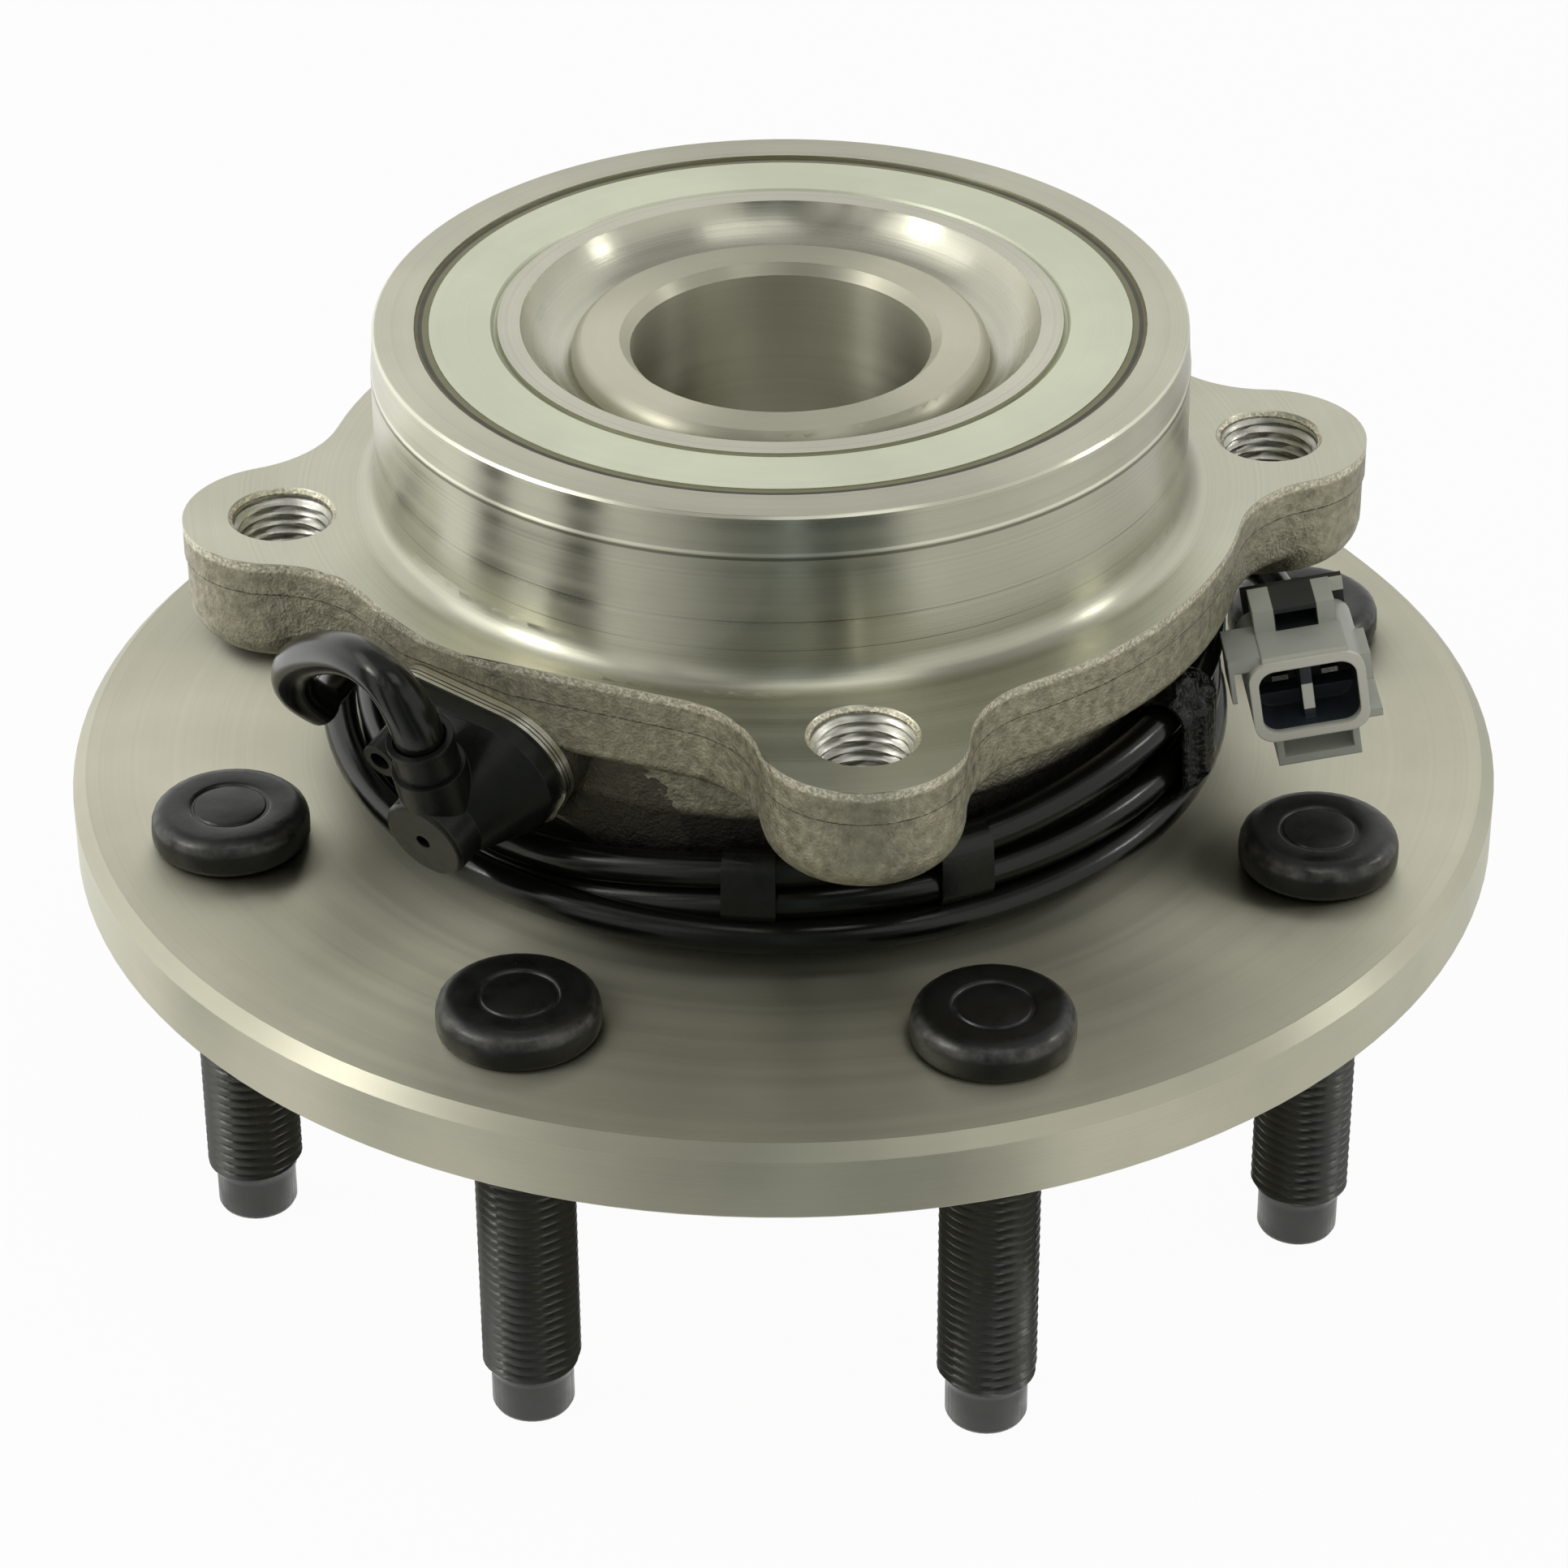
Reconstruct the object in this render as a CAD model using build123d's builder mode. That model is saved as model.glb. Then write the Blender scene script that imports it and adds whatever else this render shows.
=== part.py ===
"""Wheel hub bearing unit with eight wheel studs, a four-lug carrier and a wheel-speed sensor on a coiled lead.

Millimetres. +Z is the spin axis and points inboard, away from the wheel. z = 0 is the face that the wheel sits on.
Azimuths are in degrees from -Y towards +X, so azimuth 0 faces the photograph's camera.
"""
import os
from math import atan2, cos, degrees, hypot, radians, sin, tan

from build123d import *

# Wheel flange and hub
FLANGE_T = 11.0
FLANGE_R = 102.8
FLANGE_CHAMFER = 1.9
BORE_R = 21.0
BORE_CHAMFER = 1.4
JOURNAL_R = 25.5
SHOULDER_R = 38.0
PILOT_R = 60.5
PILOT_H = 12.0
NUT_SEAT_R = 46.0
NUT_SEAT_Z = 3.0
SPINDLE_END_Z = 75.6
BEAD_R = 29.1
BEAD_TOP_R = 27.7
BEAD_DROP = 1.9
BEAD_SEAT = 2.8
GROOVE_R = 36.1

# Wheel studs
STUD_COUNT = 8
STUD_PCD = 165.1
STUD_R = 7.0
STUD_FIRST_AZ = -25.43
HEAD_R = 11.15
HEAD_H = 5.5
HEAD_RING_R = 5.0
HEAD_RING_W = 0.7
KNURL_R = 7.4
STUD_TIP_Z = -52.9
POINT_R = 5.74
POINT_L = 6.9

# The stack of radii: the rows' pitch, the cones' ribs and the seals' bores
ROW_PITCH_LARGE_R = 40.6
ROW_RISE = 2.8
RIB_IN = 1.4
BORE_OVER = 10.15
ROW_PITCH_SMALL_R = ROW_PITCH_LARGE_R - ROW_RISE
RIB_R = ROW_PITCH_LARGE_R - RIB_IN
SEAL_BORE_R = ROW_PITCH_LARGE_R + BORE_OVER

# Carrier, the outer ring that bolts to the knuckle
RING_TOP_Z = 78.7
RING_BOTTOM_Z = 15.0
PILOT_WALL = 6.25
NECK_WALL = 5.25
LEAD_IN_STEP = 0.4
LEAD_IN_H = 5.4
ROOT_FILLET = 3.4
WEB_LAND = 4.6
FLAT_LAND = 0.3
FLAT_W = 60.0
WEB_FLAT_AZ = -22.0
WEB_BLEND = 17.0
WEB_ROUND = 1.8
LUG_FACE_Z = 53.5
WEB_T = 13.0
LUG_T = 17.0
PARTING_DOWN = 5.0
RIDGE_OUT = 0.3
LUG_R = 13.6
LUG_FILLET = 5.5
LUG_REACH = 13.4
KNUCKLE_PILOT_R = SEAL_BORE_R + PILOT_WALL
NECK_R = SEAL_BORE_R + NECK_WALL
LEAD_IN_R = KNUCKLE_PILOT_R - LEAD_IN_STEP
WEB_R = KNUCKLE_PILOT_R + ROOT_FILLET + WEB_LAND
WEB_FLAT = KNUCKLE_PILOT_R + ROOT_FILLET + FLAT_LAND
PARTING_Z = LUG_FACE_Z - PARTING_DOWN
LUG_COUNT = 4
LUG_PCD = 2 * (KNUCKLE_PILOT_R + LUG_REACH)
LUG_FIRST_AZ = 8.5
LUG_HOLE_R = 7.0
LUG_HOLE_CHAMFER = 0.6

# Taper roller rows
ROLLERS_PER_ROW = 18
ROLLER_SMALL_R = 4.9
ROLLER_LARGE_R = 5.6
ROLLER_GAP = 0.04
IN_ROW_SMALL_Z = 53.5
IN_ROW_LARGE_Z = 65.5
OUT_ROW_SMALL_Z = 34.0
OUT_ROW_LARGE_Z = 23.0
CONE_IN_FACE_Z = 78.55
CONE_OUT_FACE_Z = 15.0
CONE_END_OVER = 3.0
SPACER_T = 5.5
SPACER_R = JOURNAL_R + SPACER_T
CAGE_T = 1.6
POCKET_GAP = 0.35

# Seals
SEAL_H = 6.0
SEAL_GAP = 0.06
FLINGER_IN = 2.05
SLEEVE_T = 0.95
FLINGER_R = SEAL_BORE_R - FLINGER_IN
SLEEVE_R = RIB_R + SLEEVE_T
CASE_T = 0.9

# Tone ring and wheel-speed sensor
TONE_RISE = 6.4
TONE_R = SPACER_R + TONE_RISE
TONE_LOW_Z = 38.6
TONE_HIGH_Z = 48.2
TONE_TEETH = 36
SEAT_OUT = 1.6531
SEAT_SIDE = -4.8510
SEAT_Z = 35.2
SENSOR_AZ = -36.0
SENSOR_TILT = 17.0
PLATE_T = 1.1
SHIM_T = 1.0
PLATE_W = 26.0
PLATE_TOP = 13.6
PLATE_BOTTOM = 9.2
PLATE_SLANT = 2.6
PLATE_FOOT = 5.5
PLATE_RADII = [5.0, 6.5, 7.0, 9.2, 3.4]
PAD_T = 6.5
SPOT_R = 22.5
BODY_SIDE = 0.6
BODY_STAND = 2.4
BARREL_R = 6.3
BARREL_END = 17.7
NOSE_L = 4.6
NOSE_FILLET = 0.7
EYE_R = 2.7
EYE_AT = (-12.6, 2.7)
EYE_L = 8.0
TOWER_AT = 12.6
TOWER_R = 5.1
TOWER_STEP = 10.3
TOWER_TOP = 15.6
COLLAR_R = 4.4
LIP_OUT = 0.25
LIP_H = 0.8
SOCKET_R = 3.7
SOCKET_D = 1.0
PROBE_R = 4.0
AIR_GAP = 1.93574
PROBE_FIT = 0.05

# Lead and connector
LEAD_R = 2.5
SLEEVE_TUBE_R = 3.0
COIL_FIT = 1.1
COIL_TO_HEADS = 5.2
COIL_LIFT = 3.0
COIL_H = 9.8
UPPER_IN = 0.9
UPPER_W = 5.4
UPPER_H = 9.8
COIL_IN_R = NECK_R + COIL_FIT
COIL_OUT_R = STUD_PCD / 2 - HEAD_R - COIL_TO_HEADS
COIL_LOW_Z = FLANGE_T + COIL_LIFT
COIL_HIGH_Z = COIL_LOW_Z + COIL_H
UPPER_IN_R = COIL_IN_R + UPPER_IN
UPPER_OUT_R = UPPER_IN_R + UPPER_W
UPPER_HIGH_Z = COIL_HIGH_Z + UPPER_H
UPPER_START_AZ = 74.0
UPPER_END_AZ = 270.0
BAND_T = 0.5
CONN_AT = (73.6, -23.8, 30.6)
CONN_TURN = 3.0
CONN_ROLL = 9.0
CONN_W = 16.4
CONN_H = 12.8
CONN_D = 15.0
CONN_WALL = 1.3
CAVITY_D = 10.5
LOCK_Z = -7.5
LOCK_H = 4.2
RAIL_H = 4.8
BLADE_W = 2.3
BLADE_T = 0.8
BLADE_PITCH = 7.0
BLADE_Y = 1.2
REAR_D = 4.5
NECK_D = 3.5

os.makedirs("parts", exist_ok=True)
FILES = []


def save(part, name):
    part.label = name
    export_step(part, f"parts/{name}.step")
    FILES.append(name)
    print(f"{name}: {len(part.solids())} solid(s), volume {part.volume:.0f}")


def polar(r, az, z):
    return (r * sin(radians(az)), -r * cos(radians(az)), z)


def turned(points):
    """A ring turned about Z from (r, z) points."""
    with BuildPart() as ring:
        with BuildSketch(Plane.XZ):
            with BuildLine():
                Polyline(*points, close=True)
            make_face()
        revolve(axis=Axis.Z)
    return ring.part


def frame(at, az, tilt, roll=0.0):
    """A plane whose normal points outwards at an azimuth and dips below level by tilt."""
    a = radians(az)
    q = radians(tilt)
    level = Vector(cos(a), sin(a), 0)
    out = Vector(cos(q) * sin(a), -cos(q) * cos(a), -sin(q))
    up = out.cross(level)
    x_dir = level * cos(radians(roll)) + up * sin(radians(roll))
    return Plane(origin=at, x_dir=x_dir, z_dir=out)


class Row:
    """The lines of one row of taper rollers, from its small end to its large end."""

    def __init__(self, small_z, large_z):
        self.way = 1 if large_z > small_z else -1
        dr = ROW_PITCH_LARGE_R - ROW_PITCH_SMALL_R
        dz = abs(large_z - small_z)
        self.length = hypot(dr, dz)
        self.tilt = atan2(dr, dz)
        self.along = (sin(self.tilt), self.way * cos(self.tilt))
        self.out = (cos(self.tilt), -self.way * sin(self.tilt))
        self.small = (ROW_PITCH_SMALL_R, small_z)
        self.large = (ROW_PITCH_LARGE_R, large_z)

    def point(self, share, side, over=0.0):
        """A point on the cup race (side 1) or the cone race (side -1), over mm past the large end."""
        s = share * self.length + over
        grow = (ROLLER_LARGE_R - ROLLER_SMALL_R) / self.length
        r = ROLLER_SMALL_R + grow * s
        return (
            self.small[0] + self.along[0] * s + side * r * self.out[0],
            self.small[1] + self.along[1] * s + side * r * self.out[1],
        )

    def plane(self):
        """The roller's own frame at its small end, in the plane of X and Z."""
        return Plane(
            origin=(self.small[0], 0, self.small[1]),
            x_dir=(0, 1, 0),
            z_dir=(self.along[0], 0, self.along[1]),
        )


INBOARD = Row(IN_ROW_SMALL_Z, IN_ROW_LARGE_Z)
OUTBOARD = Row(OUT_ROW_SMALL_Z, OUT_ROW_LARGE_Z)
SEAT_R = KNUCKLE_PILOT_R + SEAT_OUT
SEAT_TURN = radians(SENSOR_AZ)
SENSOR_AT = (
    SEAT_R * sin(SEAT_TURN) + SEAT_SIDE * cos(SEAT_TURN),
    SEAT_SIDE * sin(SEAT_TURN) - SEAT_R * cos(SEAT_TURN),
    SEAT_Z,
)
SENSOR = frame(SENSOR_AT, SENSOR_AZ, SENSOR_TILT)
PROBE_L = (SEAT_R - TONE_R - AIR_GAP) / cos(radians(SENSOR_TILT))
CONN = frame(CONN_AT, CONN_TURN, 0.0, CONN_ROLL)


# Carrier
def carrier_section():
    """The turned section of the carrier: pilot, seal bores, cup races and neck, as (r, z) points."""
    seal_top = RING_TOP_Z - SEAL_H - 0.6
    seal_low = RING_BOTTOM_Z + SEAL_H + 0.6
    top_race = INBOARD.point(1, 1, 1.4)
    top_end = INBOARD.point(0, 1, -1.0)
    low_end = OUTBOARD.point(0, 1, -1.0)
    low_race = OUTBOARD.point(1, 1, 0.9)
    return [
        (SEAL_BORE_R, RING_TOP_Z),
        (LEAD_IN_R - 0.4, RING_TOP_Z),
        (LEAD_IN_R, RING_TOP_Z - 0.4),
        (KNUCKLE_PILOT_R - 0.15, RING_TOP_Z - LEAD_IN_H),
        (KNUCKLE_PILOT_R, RING_TOP_Z - LEAD_IN_H - 0.5),
        (KNUCKLE_PILOT_R, LUG_FACE_Z - 1.0),
        (NECK_R, LUG_FACE_Z - 1.0),
        (NECK_R, RING_BOTTOM_Z + 1.0),
        (NECK_R - 1.0, RING_BOTTOM_Z),
        (SEAL_BORE_R, RING_BOTTOM_Z),
        (SEAL_BORE_R, seal_low),
        (low_race[0] + 0.4, seal_low),
        low_race,
        low_end,
        top_end,
        top_race,
        (top_race[0] + 0.4, seal_top),
        (SEAL_BORE_R, seal_top),
    ]


LUG_AZ = [LUG_FIRST_AZ + 360 / LUG_COUNT * i for i in range(LUG_COUNT)]


def lug_shapes():
    """The rounded lugs with straight sides that run in under the pilot."""
    for az in LUG_AZ:
        with Locations(polar(LUG_PCD / 2, az, 0)[:2]):
            Circle(LUG_R)
        with Locations(polar(LUG_PCD / 4 + 10, az, 0)[:2]):
            Rectangle(2 * LUG_R, LUG_PCD / 2 - 20, rotation=az)


def plate_outline():
    """The sensor plate: a sheet with a wide round at its right and small corners at its left."""
    half = PLATE_W / 2
    with BuildSketch() as outline:
        with BuildLine():
            FilletPolyline(
                (-half, -PLATE_BOTTOM),
                (half - PLATE_FOOT, -PLATE_BOTTOM),
                (half, 0),
                (half, PLATE_TOP - PLATE_SLANT),
                (-half, PLATE_TOP),
                radius=PLATE_RADII,
                close=True,
            )
        make_face()
    return outline.sketch


# The web and its lugs: a drop forging with wide blends, a little wider above its parting line
with BuildSketch() as web:
    Circle(WEB_R)
    with Locations(polar(WEB_FLAT + FLAT_W / 2, WEB_FLAT_AZ, 0)[:2]):
        Rectangle(FLAT_W, FLAT_W, rotation=WEB_FLAT_AZ, mode=Mode.SUBTRACT)
    lug_shapes()
    offset(amount=WEB_BLEND)
    offset(amount=-WEB_BLEND)

with BuildPart() as lugs:
    with BuildSketch(Plane.XY.offset(LUG_FACE_Z)):
        Circle(NECK_R)
        lug_shapes()
    extrude(amount=-LUG_T)
    fillet(lugs.edges().group_by(Axis.Z)[0], LUG_FILLET)

with BuildPart() as forging:
    with BuildSketch(Plane.XY.offset(LUG_FACE_Z)):
        add(web.sketch)
    extrude(amount=-WEB_T)
    fillet(forging.edges().group_by(Axis.Z)[0], WEB_ROUND)
    add(lugs.part)
    with BuildSketch(Plane.XY.offset(PARTING_Z)):
        offset(web.sketch, RIDGE_OUT)
    extrude(amount=PARTING_DOWN)
    with Locations((0, 0, LUG_FACE_Z)):
        Hole((SEAL_BORE_R + KNUCKLE_PILOT_R) / 2, 2 * LUG_T)

with BuildPart() as outer_ring:
    add(turned(carrier_section()))
    add(forging.part)
    with BuildSketch(SENSOR):
        add(plate_outline())
    extrude(amount=-PAD_T)
    with BuildSketch(SENSOR):
        Circle(SPOT_R)
    extrude(amount=BARREL_END / 2, mode=Mode.SUBTRACT)
    root = [
        e
        for e in outer_ring.edges().filter_by(GeomType.CIRCLE)
        if abs(e.radius - KNUCKLE_PILOT_R) < 0.01 and abs(e.center().Z - LUG_FACE_Z) < 0.01
    ]
    fillet(root, ROOT_FILLET)
    with Locations(*[polar(LUG_PCD / 2, az, LUG_FACE_Z) for az in LUG_AZ]):
        CounterSinkHole(LUG_HOLE_R, LUG_HOLE_R + LUG_HOLE_CHAMFER, LUG_T + 1, 90)
    with Locations(SENSOR):
        Cylinder(
            PROBE_R + PROBE_FIT,
            PROBE_L - SHIM_T,
            align=(Align.CENTER, Align.CENTER, Align.MAX),
            mode=Mode.SUBTRACT,
        )
save(outer_ring.part, "outer_ring")


# Wheel hub: flange, wheel pilot, journal and the formed end that holds the cones
with BuildPart() as wheel_hub:
    with BuildSketch(Plane.XZ) as hub_section:
        with BuildLine() as hub_line:
            Polyline(
                (BEAD_R, SPINDLE_END_Z - BEAD_DROP),
                (BEAD_R, SPINDLE_END_Z - BEAD_SEAT),
                (JOURNAL_R, SPINDLE_END_Z - BEAD_SEAT),
                (JOURNAL_R, CONE_OUT_FACE_Z),
                (SHOULDER_R, CONE_OUT_FACE_Z),
                (SHOULDER_R, FLANGE_T),
                (FLANGE_R - FLANGE_CHAMFER, FLANGE_T),
                (FLANGE_R, FLANGE_T - FLANGE_CHAMFER),
                (FLANGE_R, 0.5),
                (FLANGE_R - 0.5, 0),
                (PILOT_R, 0),
                (PILOT_R, 1 - PILOT_H),
                (PILOT_R - 1, -PILOT_H),
                (NUT_SEAT_R, -PILOT_H),
                (NUT_SEAT_R, NUT_SEAT_Z),
                (BORE_R + 1, NUT_SEAT_Z),
                (BORE_R, NUT_SEAT_Z + 1),
                (BORE_R, SPINDLE_END_Z - BORE_CHAMFER),
                (BORE_R + BORE_CHAMFER, SPINDLE_END_Z),
                (BEAD_TOP_R, SPINDLE_END_Z),
            )
            RadiusArc((BEAD_TOP_R, SPINDLE_END_Z), (BEAD_R, SPINDLE_END_Z - BEAD_DROP), BEAD_SEAT - 0.6)
        make_face()
    revolve(axis=Axis.Z)
    with Locations((0, 0, FLANGE_T)):
        with PolarLocations(STUD_PCD / 2, STUD_COUNT, start_angle=STUD_FIRST_AZ - 90):
            Hole(KNURL_R, FLANGE_T)
save(wheel_hub.part, "wheel_hub")


with BuildPart() as wheel_studs:
    with PolarLocations(STUD_PCD / 2, STUD_COUNT, start_angle=STUD_FIRST_AZ - 90):
        add(
            turned(
                [
                    (0, STUD_TIP_Z),
                    (POINT_R - 1.3, STUD_TIP_Z),
                    (POINT_R - 0.4, STUD_TIP_Z + 0.5),
                    (POINT_R, STUD_TIP_Z + 1.5),
                    (POINT_R, STUD_TIP_Z + POINT_L),
                    (STUD_R, STUD_TIP_Z + POINT_L + 2.2),
                    (STUD_R, 0),
                    (KNURL_R, 1.0),
                    (KNURL_R, FLANGE_T),
                    (HEAD_R - 0.7, FLANGE_T),
                    (HEAD_R, FLANGE_T + 1.0),
                    (HEAD_R, FLANGE_T + HEAD_H - 1.8),
                    (HEAD_R - 0.6, FLANGE_T + HEAD_H - 0.6),
                    (HEAD_R - 1.8, FLANGE_T + HEAD_H),
                    (HEAD_RING_R + HEAD_RING_W, FLANGE_T + HEAD_H),
                    (HEAD_RING_R + HEAD_RING_W / 2, FLANGE_T + HEAD_H - 0.3),
                    (HEAD_RING_R, FLANGE_T + HEAD_H),
                    (0, FLANGE_T + HEAD_H),
                ]
            )
        )
save(wheel_studs.part, "wheel_studs")


# Cones, spacer and tone ring
def cone_points(row, face_z):
    """A cone's section from its small end round the race and the rib to its back face."""
    start = row.point(0, -1, -0.5)
    end = row.point(1, -1, 0.08)
    rise = (RIB_R - end[0]) / row.out[0]
    tail_z = row.small[1] - row.way * CONE_END_OVER
    return [
        (JOURNAL_R, tail_z),
        (start[0] + 1.1, tail_z),
        (start[0] + 1.1, start[1] - row.way * 0.3),
        start,
        end,
        (RIB_R, end[1] + rise * row.out[1]),
        (RIB_R, face_z),
    ]


with BuildPart() as inboard_cone:
    with BuildSketch(Plane.XZ):
        with BuildLine():
            points = cone_points(INBOARD, CONE_IN_FACE_Z)
            groove_low = (BEAD_R, SPINDLE_END_Z - BEAD_SEAT)
            Polyline(*points, (GROOVE_R, CONE_IN_FACE_Z))
            ThreePointArc(
                (GROOVE_R, CONE_IN_FACE_Z),
                ((GROOVE_R + BEAD_R) / 2 + 0.7, SPINDLE_END_Z - 0.6),
                groove_low,
            )
            Polyline(groove_low, (JOURNAL_R, SPINDLE_END_Z - BEAD_SEAT), points[0])
        make_face()
    revolve(axis=Axis.Z)
save(inboard_cone.part, "inboard_cone")

outboard_cone = turned([*cone_points(OUTBOARD, CONE_OUT_FACE_Z), (JOURNAL_R, CONE_OUT_FACE_Z)])
save(outboard_cone, "outboard_cone")

SPACER_LOW = OUT_ROW_SMALL_Z + CONE_END_OVER
SPACER_HIGH = IN_ROW_SMALL_Z - CONE_END_OVER
cone_spacer = turned(
    [
        (JOURNAL_R, SPACER_LOW),
        (SPACER_R, SPACER_LOW),
        (SPACER_R, SPACER_HIGH),
        (JOURNAL_R, SPACER_HIGH),
    ]
)
save(cone_spacer, "cone_spacer")

with BuildPart() as tone_ring:
    with BuildSketch(Plane.XY.offset(TONE_LOW_Z)):
        Circle(TONE_R)
        with PolarLocations(TONE_R, TONE_TEETH):
            Rectangle(3.6, TONE_R * 3.14 / TONE_TEETH, mode=Mode.SUBTRACT)
        Circle(SPACER_R, mode=Mode.SUBTRACT)
    extrude(amount=TONE_HIGH_Z - TONE_LOW_Z)
save(tone_ring.part, "tone_ring")


# Rollers and cages
def rollers(row):
    with BuildPart() as group:
        with PolarLocations(0, ROLLERS_PER_ROW):
            with Locations(row.plane()):
                Cone(
                    ROLLER_SMALL_R - ROLLER_GAP,
                    ROLLER_LARGE_R - ROLLER_GAP,
                    row.length,
                    align=(Align.CENTER, Align.CENTER, Align.MIN),
                )
    return group.part


def cage(row):
    """A tapered ring on the rollers' pitch line with a pocket for each roller."""
    corners = []
    for s, side in [(-1.2, -1), (row.length + 1.0, -1), (row.length + 1.0, 1), (-1.2, 1)]:
        corners.append(
            (
                row.small[0] + row.along[0] * s + side * CAGE_T / 2 * row.out[0],
                row.small[1] + row.along[1] * s + side * CAGE_T / 2 * row.out[1],
            )
        )
    across = Plane(
        origin=(row.small[0], 0, row.small[1]),
        x_dir=(row.along[0], 0, row.along[1]),
        z_dir=(row.out[0], 0, row.out[1]),
    )
    with BuildPart() as pocket:
        with BuildSketch(across):
            Polygon(
                (-POCKET_GAP, -ROLLER_SMALL_R - POCKET_GAP),
                (row.length + POCKET_GAP, -ROLLER_LARGE_R - POCKET_GAP),
                (row.length + POCKET_GAP, ROLLER_LARGE_R + POCKET_GAP),
                (-POCKET_GAP, ROLLER_SMALL_R + POCKET_GAP),
                align=None,
            )
        extrude(amount=2 * CAGE_T, both=True)
    with BuildPart() as ring:
        add(turned(corners))
        with PolarLocations(0, ROLLERS_PER_ROW):
            add(pocket.part, mode=Mode.SUBTRACT)
    return ring.part


save(rollers(INBOARD), "inboard_rollers")
save(cage(INBOARD), "inboard_cage")
save(rollers(OUTBOARD), "outboard_rollers")
save(cage(OUTBOARD), "outboard_cage")


# Seals: a flinger on each cone's rib and a rubber-lined case in each bore
def seal(face_z, way):
    """The flinger, case and rubber of the seal at a face, way 1 for the inboard end."""

    def ring(*points):
        return turned([(r, face_z - way * down) for r, down in points])

    flinger = ring(
        (RIB_R, SEAL_H - 0.3),
        (SLEEVE_R, SEAL_H - 0.3),
        (SLEEVE_R, 0.95),
        (FLINGER_R, 0.95),
        (FLINGER_R, 0.05),
        (SLEEVE_R + 0.05, 0.05),
        (SLEEVE_R - 0.35, 0.6),
        (RIB_R, 0.9),
    )
    case = ring(
        (SEAL_BORE_R, 1.3),
        (SEAL_BORE_R, SEAL_H),
        (SLEEVE_R + 3.4, SEAL_H),
        (SLEEVE_R + 3.4, SEAL_H - CASE_T),
        (SEAL_BORE_R - CASE_T, SEAL_H - CASE_T),
        (SEAL_BORE_R - CASE_T, 1.3),
    )
    rubber = ring(
        (SEAL_BORE_R, 0.15),
        (SEAL_BORE_R, 1.3),
        (SEAL_BORE_R - CASE_T, 1.3),
        (SEAL_BORE_R - CASE_T, SEAL_H - CASE_T),
        (SLEEVE_R + 3.4, SEAL_H - CASE_T),
        (SLEEVE_R + 3.4, SEAL_H),
        (SLEEVE_R + SEAL_GAP, SEAL_H - 0.2),
        (SLEEVE_R + SEAL_GAP, SEAL_H - 1.0),
        (SLEEVE_R + 3.0, SEAL_H - 1.5),
        (SEAL_BORE_R - 1.4, SEAL_H - 1.5),
        (SEAL_BORE_R - 1.4, 1.3),
        (FLINGER_R + SEAL_GAP, 1.3),
        (FLINGER_R + SEAL_GAP, 0.15),
    )
    return flinger, case, rubber


for end, face_z, way in [("inboard", CONE_IN_FACE_Z, 1), ("outboard", CONE_OUT_FACE_Z, -1)]:
    flinger, case, rubber = seal(face_z, way)
    save(flinger, f"{end}_seal_flinger")
    save(case, f"{end}_seal_case")
    save(rubber, f"{end}_seal_rubber")


# Wheel-speed sensor
def sensor_sheet(low, high):
    with BuildPart(SENSOR.offset(low)) as sheet:
        add(plate_outline())
        extrude(amount=high - low)
        Hole(PROBE_R)
    return sheet.part


save(sensor_sheet(0, SHIM_T), "sensor_shim")
save(sensor_sheet(SHIM_T, SHIM_T + PLATE_T), "sensor_plate")
SEAT = SHIM_T + PLATE_T

def disc_for(shape, radius):
    """A disc whose rim is cut at the bearings of another outline's corners, to pair up in a loft."""
    marks = sorted(degrees(atan2(v.Y, v.X)) % 360 for v in shape.vertices())
    with BuildSketch() as disc:
        with BuildLine():
            for first, last in zip(marks, [*marks[1:], marks[0] + 360], strict=True):
                CenterArc((0, 0), radius, first, last - first)
        make_face()
    return disc.sketch


BODY_OUTLINE = offset(plate_outline(), -BODY_SIDE)
with BuildPart() as sensor_body:
    with BuildSketch(SENSOR.offset(SEAT)):
        add(BODY_OUTLINE)
    extrude(amount=BODY_STAND)
    with BuildSketch(SENSOR.offset(SEAT + BODY_STAND)):
        add(BODY_OUTLINE)
    with BuildSketch(SENSOR.offset(BARREL_END - NOSE_L)):
        add(disc_for(BODY_OUTLINE, BARREL_R))
    loft()
    with BuildSketch(SENSOR.offset(BARREL_END - NOSE_L)):
        add(disc_for(BODY_OUTLINE, BARREL_R))
    extrude(amount=NOSE_L)
    fillet(sensor_body.faces().sort_by(Axis(SENSOR.origin, SENSOR.z_dir))[-1].edges(), NOSE_FILLET)
    with Locations(SENSOR * Location((0, 0, TOWER_AT), (-90, 0, 0))):
        Cylinder(TOWER_R, TOWER_STEP, align=(Align.CENTER, Align.CENTER, Align.MIN))
    with Locations(SENSOR * Location((*EYE_AT, SEAT))):
        Cylinder(EYE_R, EYE_L, align=(Align.CENTER, Align.CENTER, Align.MIN))
    with Locations(SENSOR * Location((EYE_AT[0] / 2 - 2, EYE_AT[1], SEAT + 1.5))):
        Box(-EYE_AT[0] - 4, 3.0, 3.0)
    with Locations(SENSOR.offset(BARREL_END)):
        Hole(1.1, 3.0)
    with Locations(SENSOR * Location((*EYE_AT, SEAT + EYE_L))):
        Hole(1.5, EYE_L - 1.5)
save(sensor_body.part, "sensor_body")

with BuildPart(SENSOR) as sensor_probe:
    with Locations((0, 0, SEAT)):
        Cylinder(PROBE_R, SEAT + PROBE_L, align=(Align.CENTER, Align.CENTER, Align.MAX))
    with Locations((0, 0, -5.0)):
        Cylinder(PROBE_R + 1, 1.5, mode=Mode.SUBTRACT)
        Cylinder(PROBE_R - 1.3, 1.5)
save(sensor_probe.part, "sensor_probe")

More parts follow.
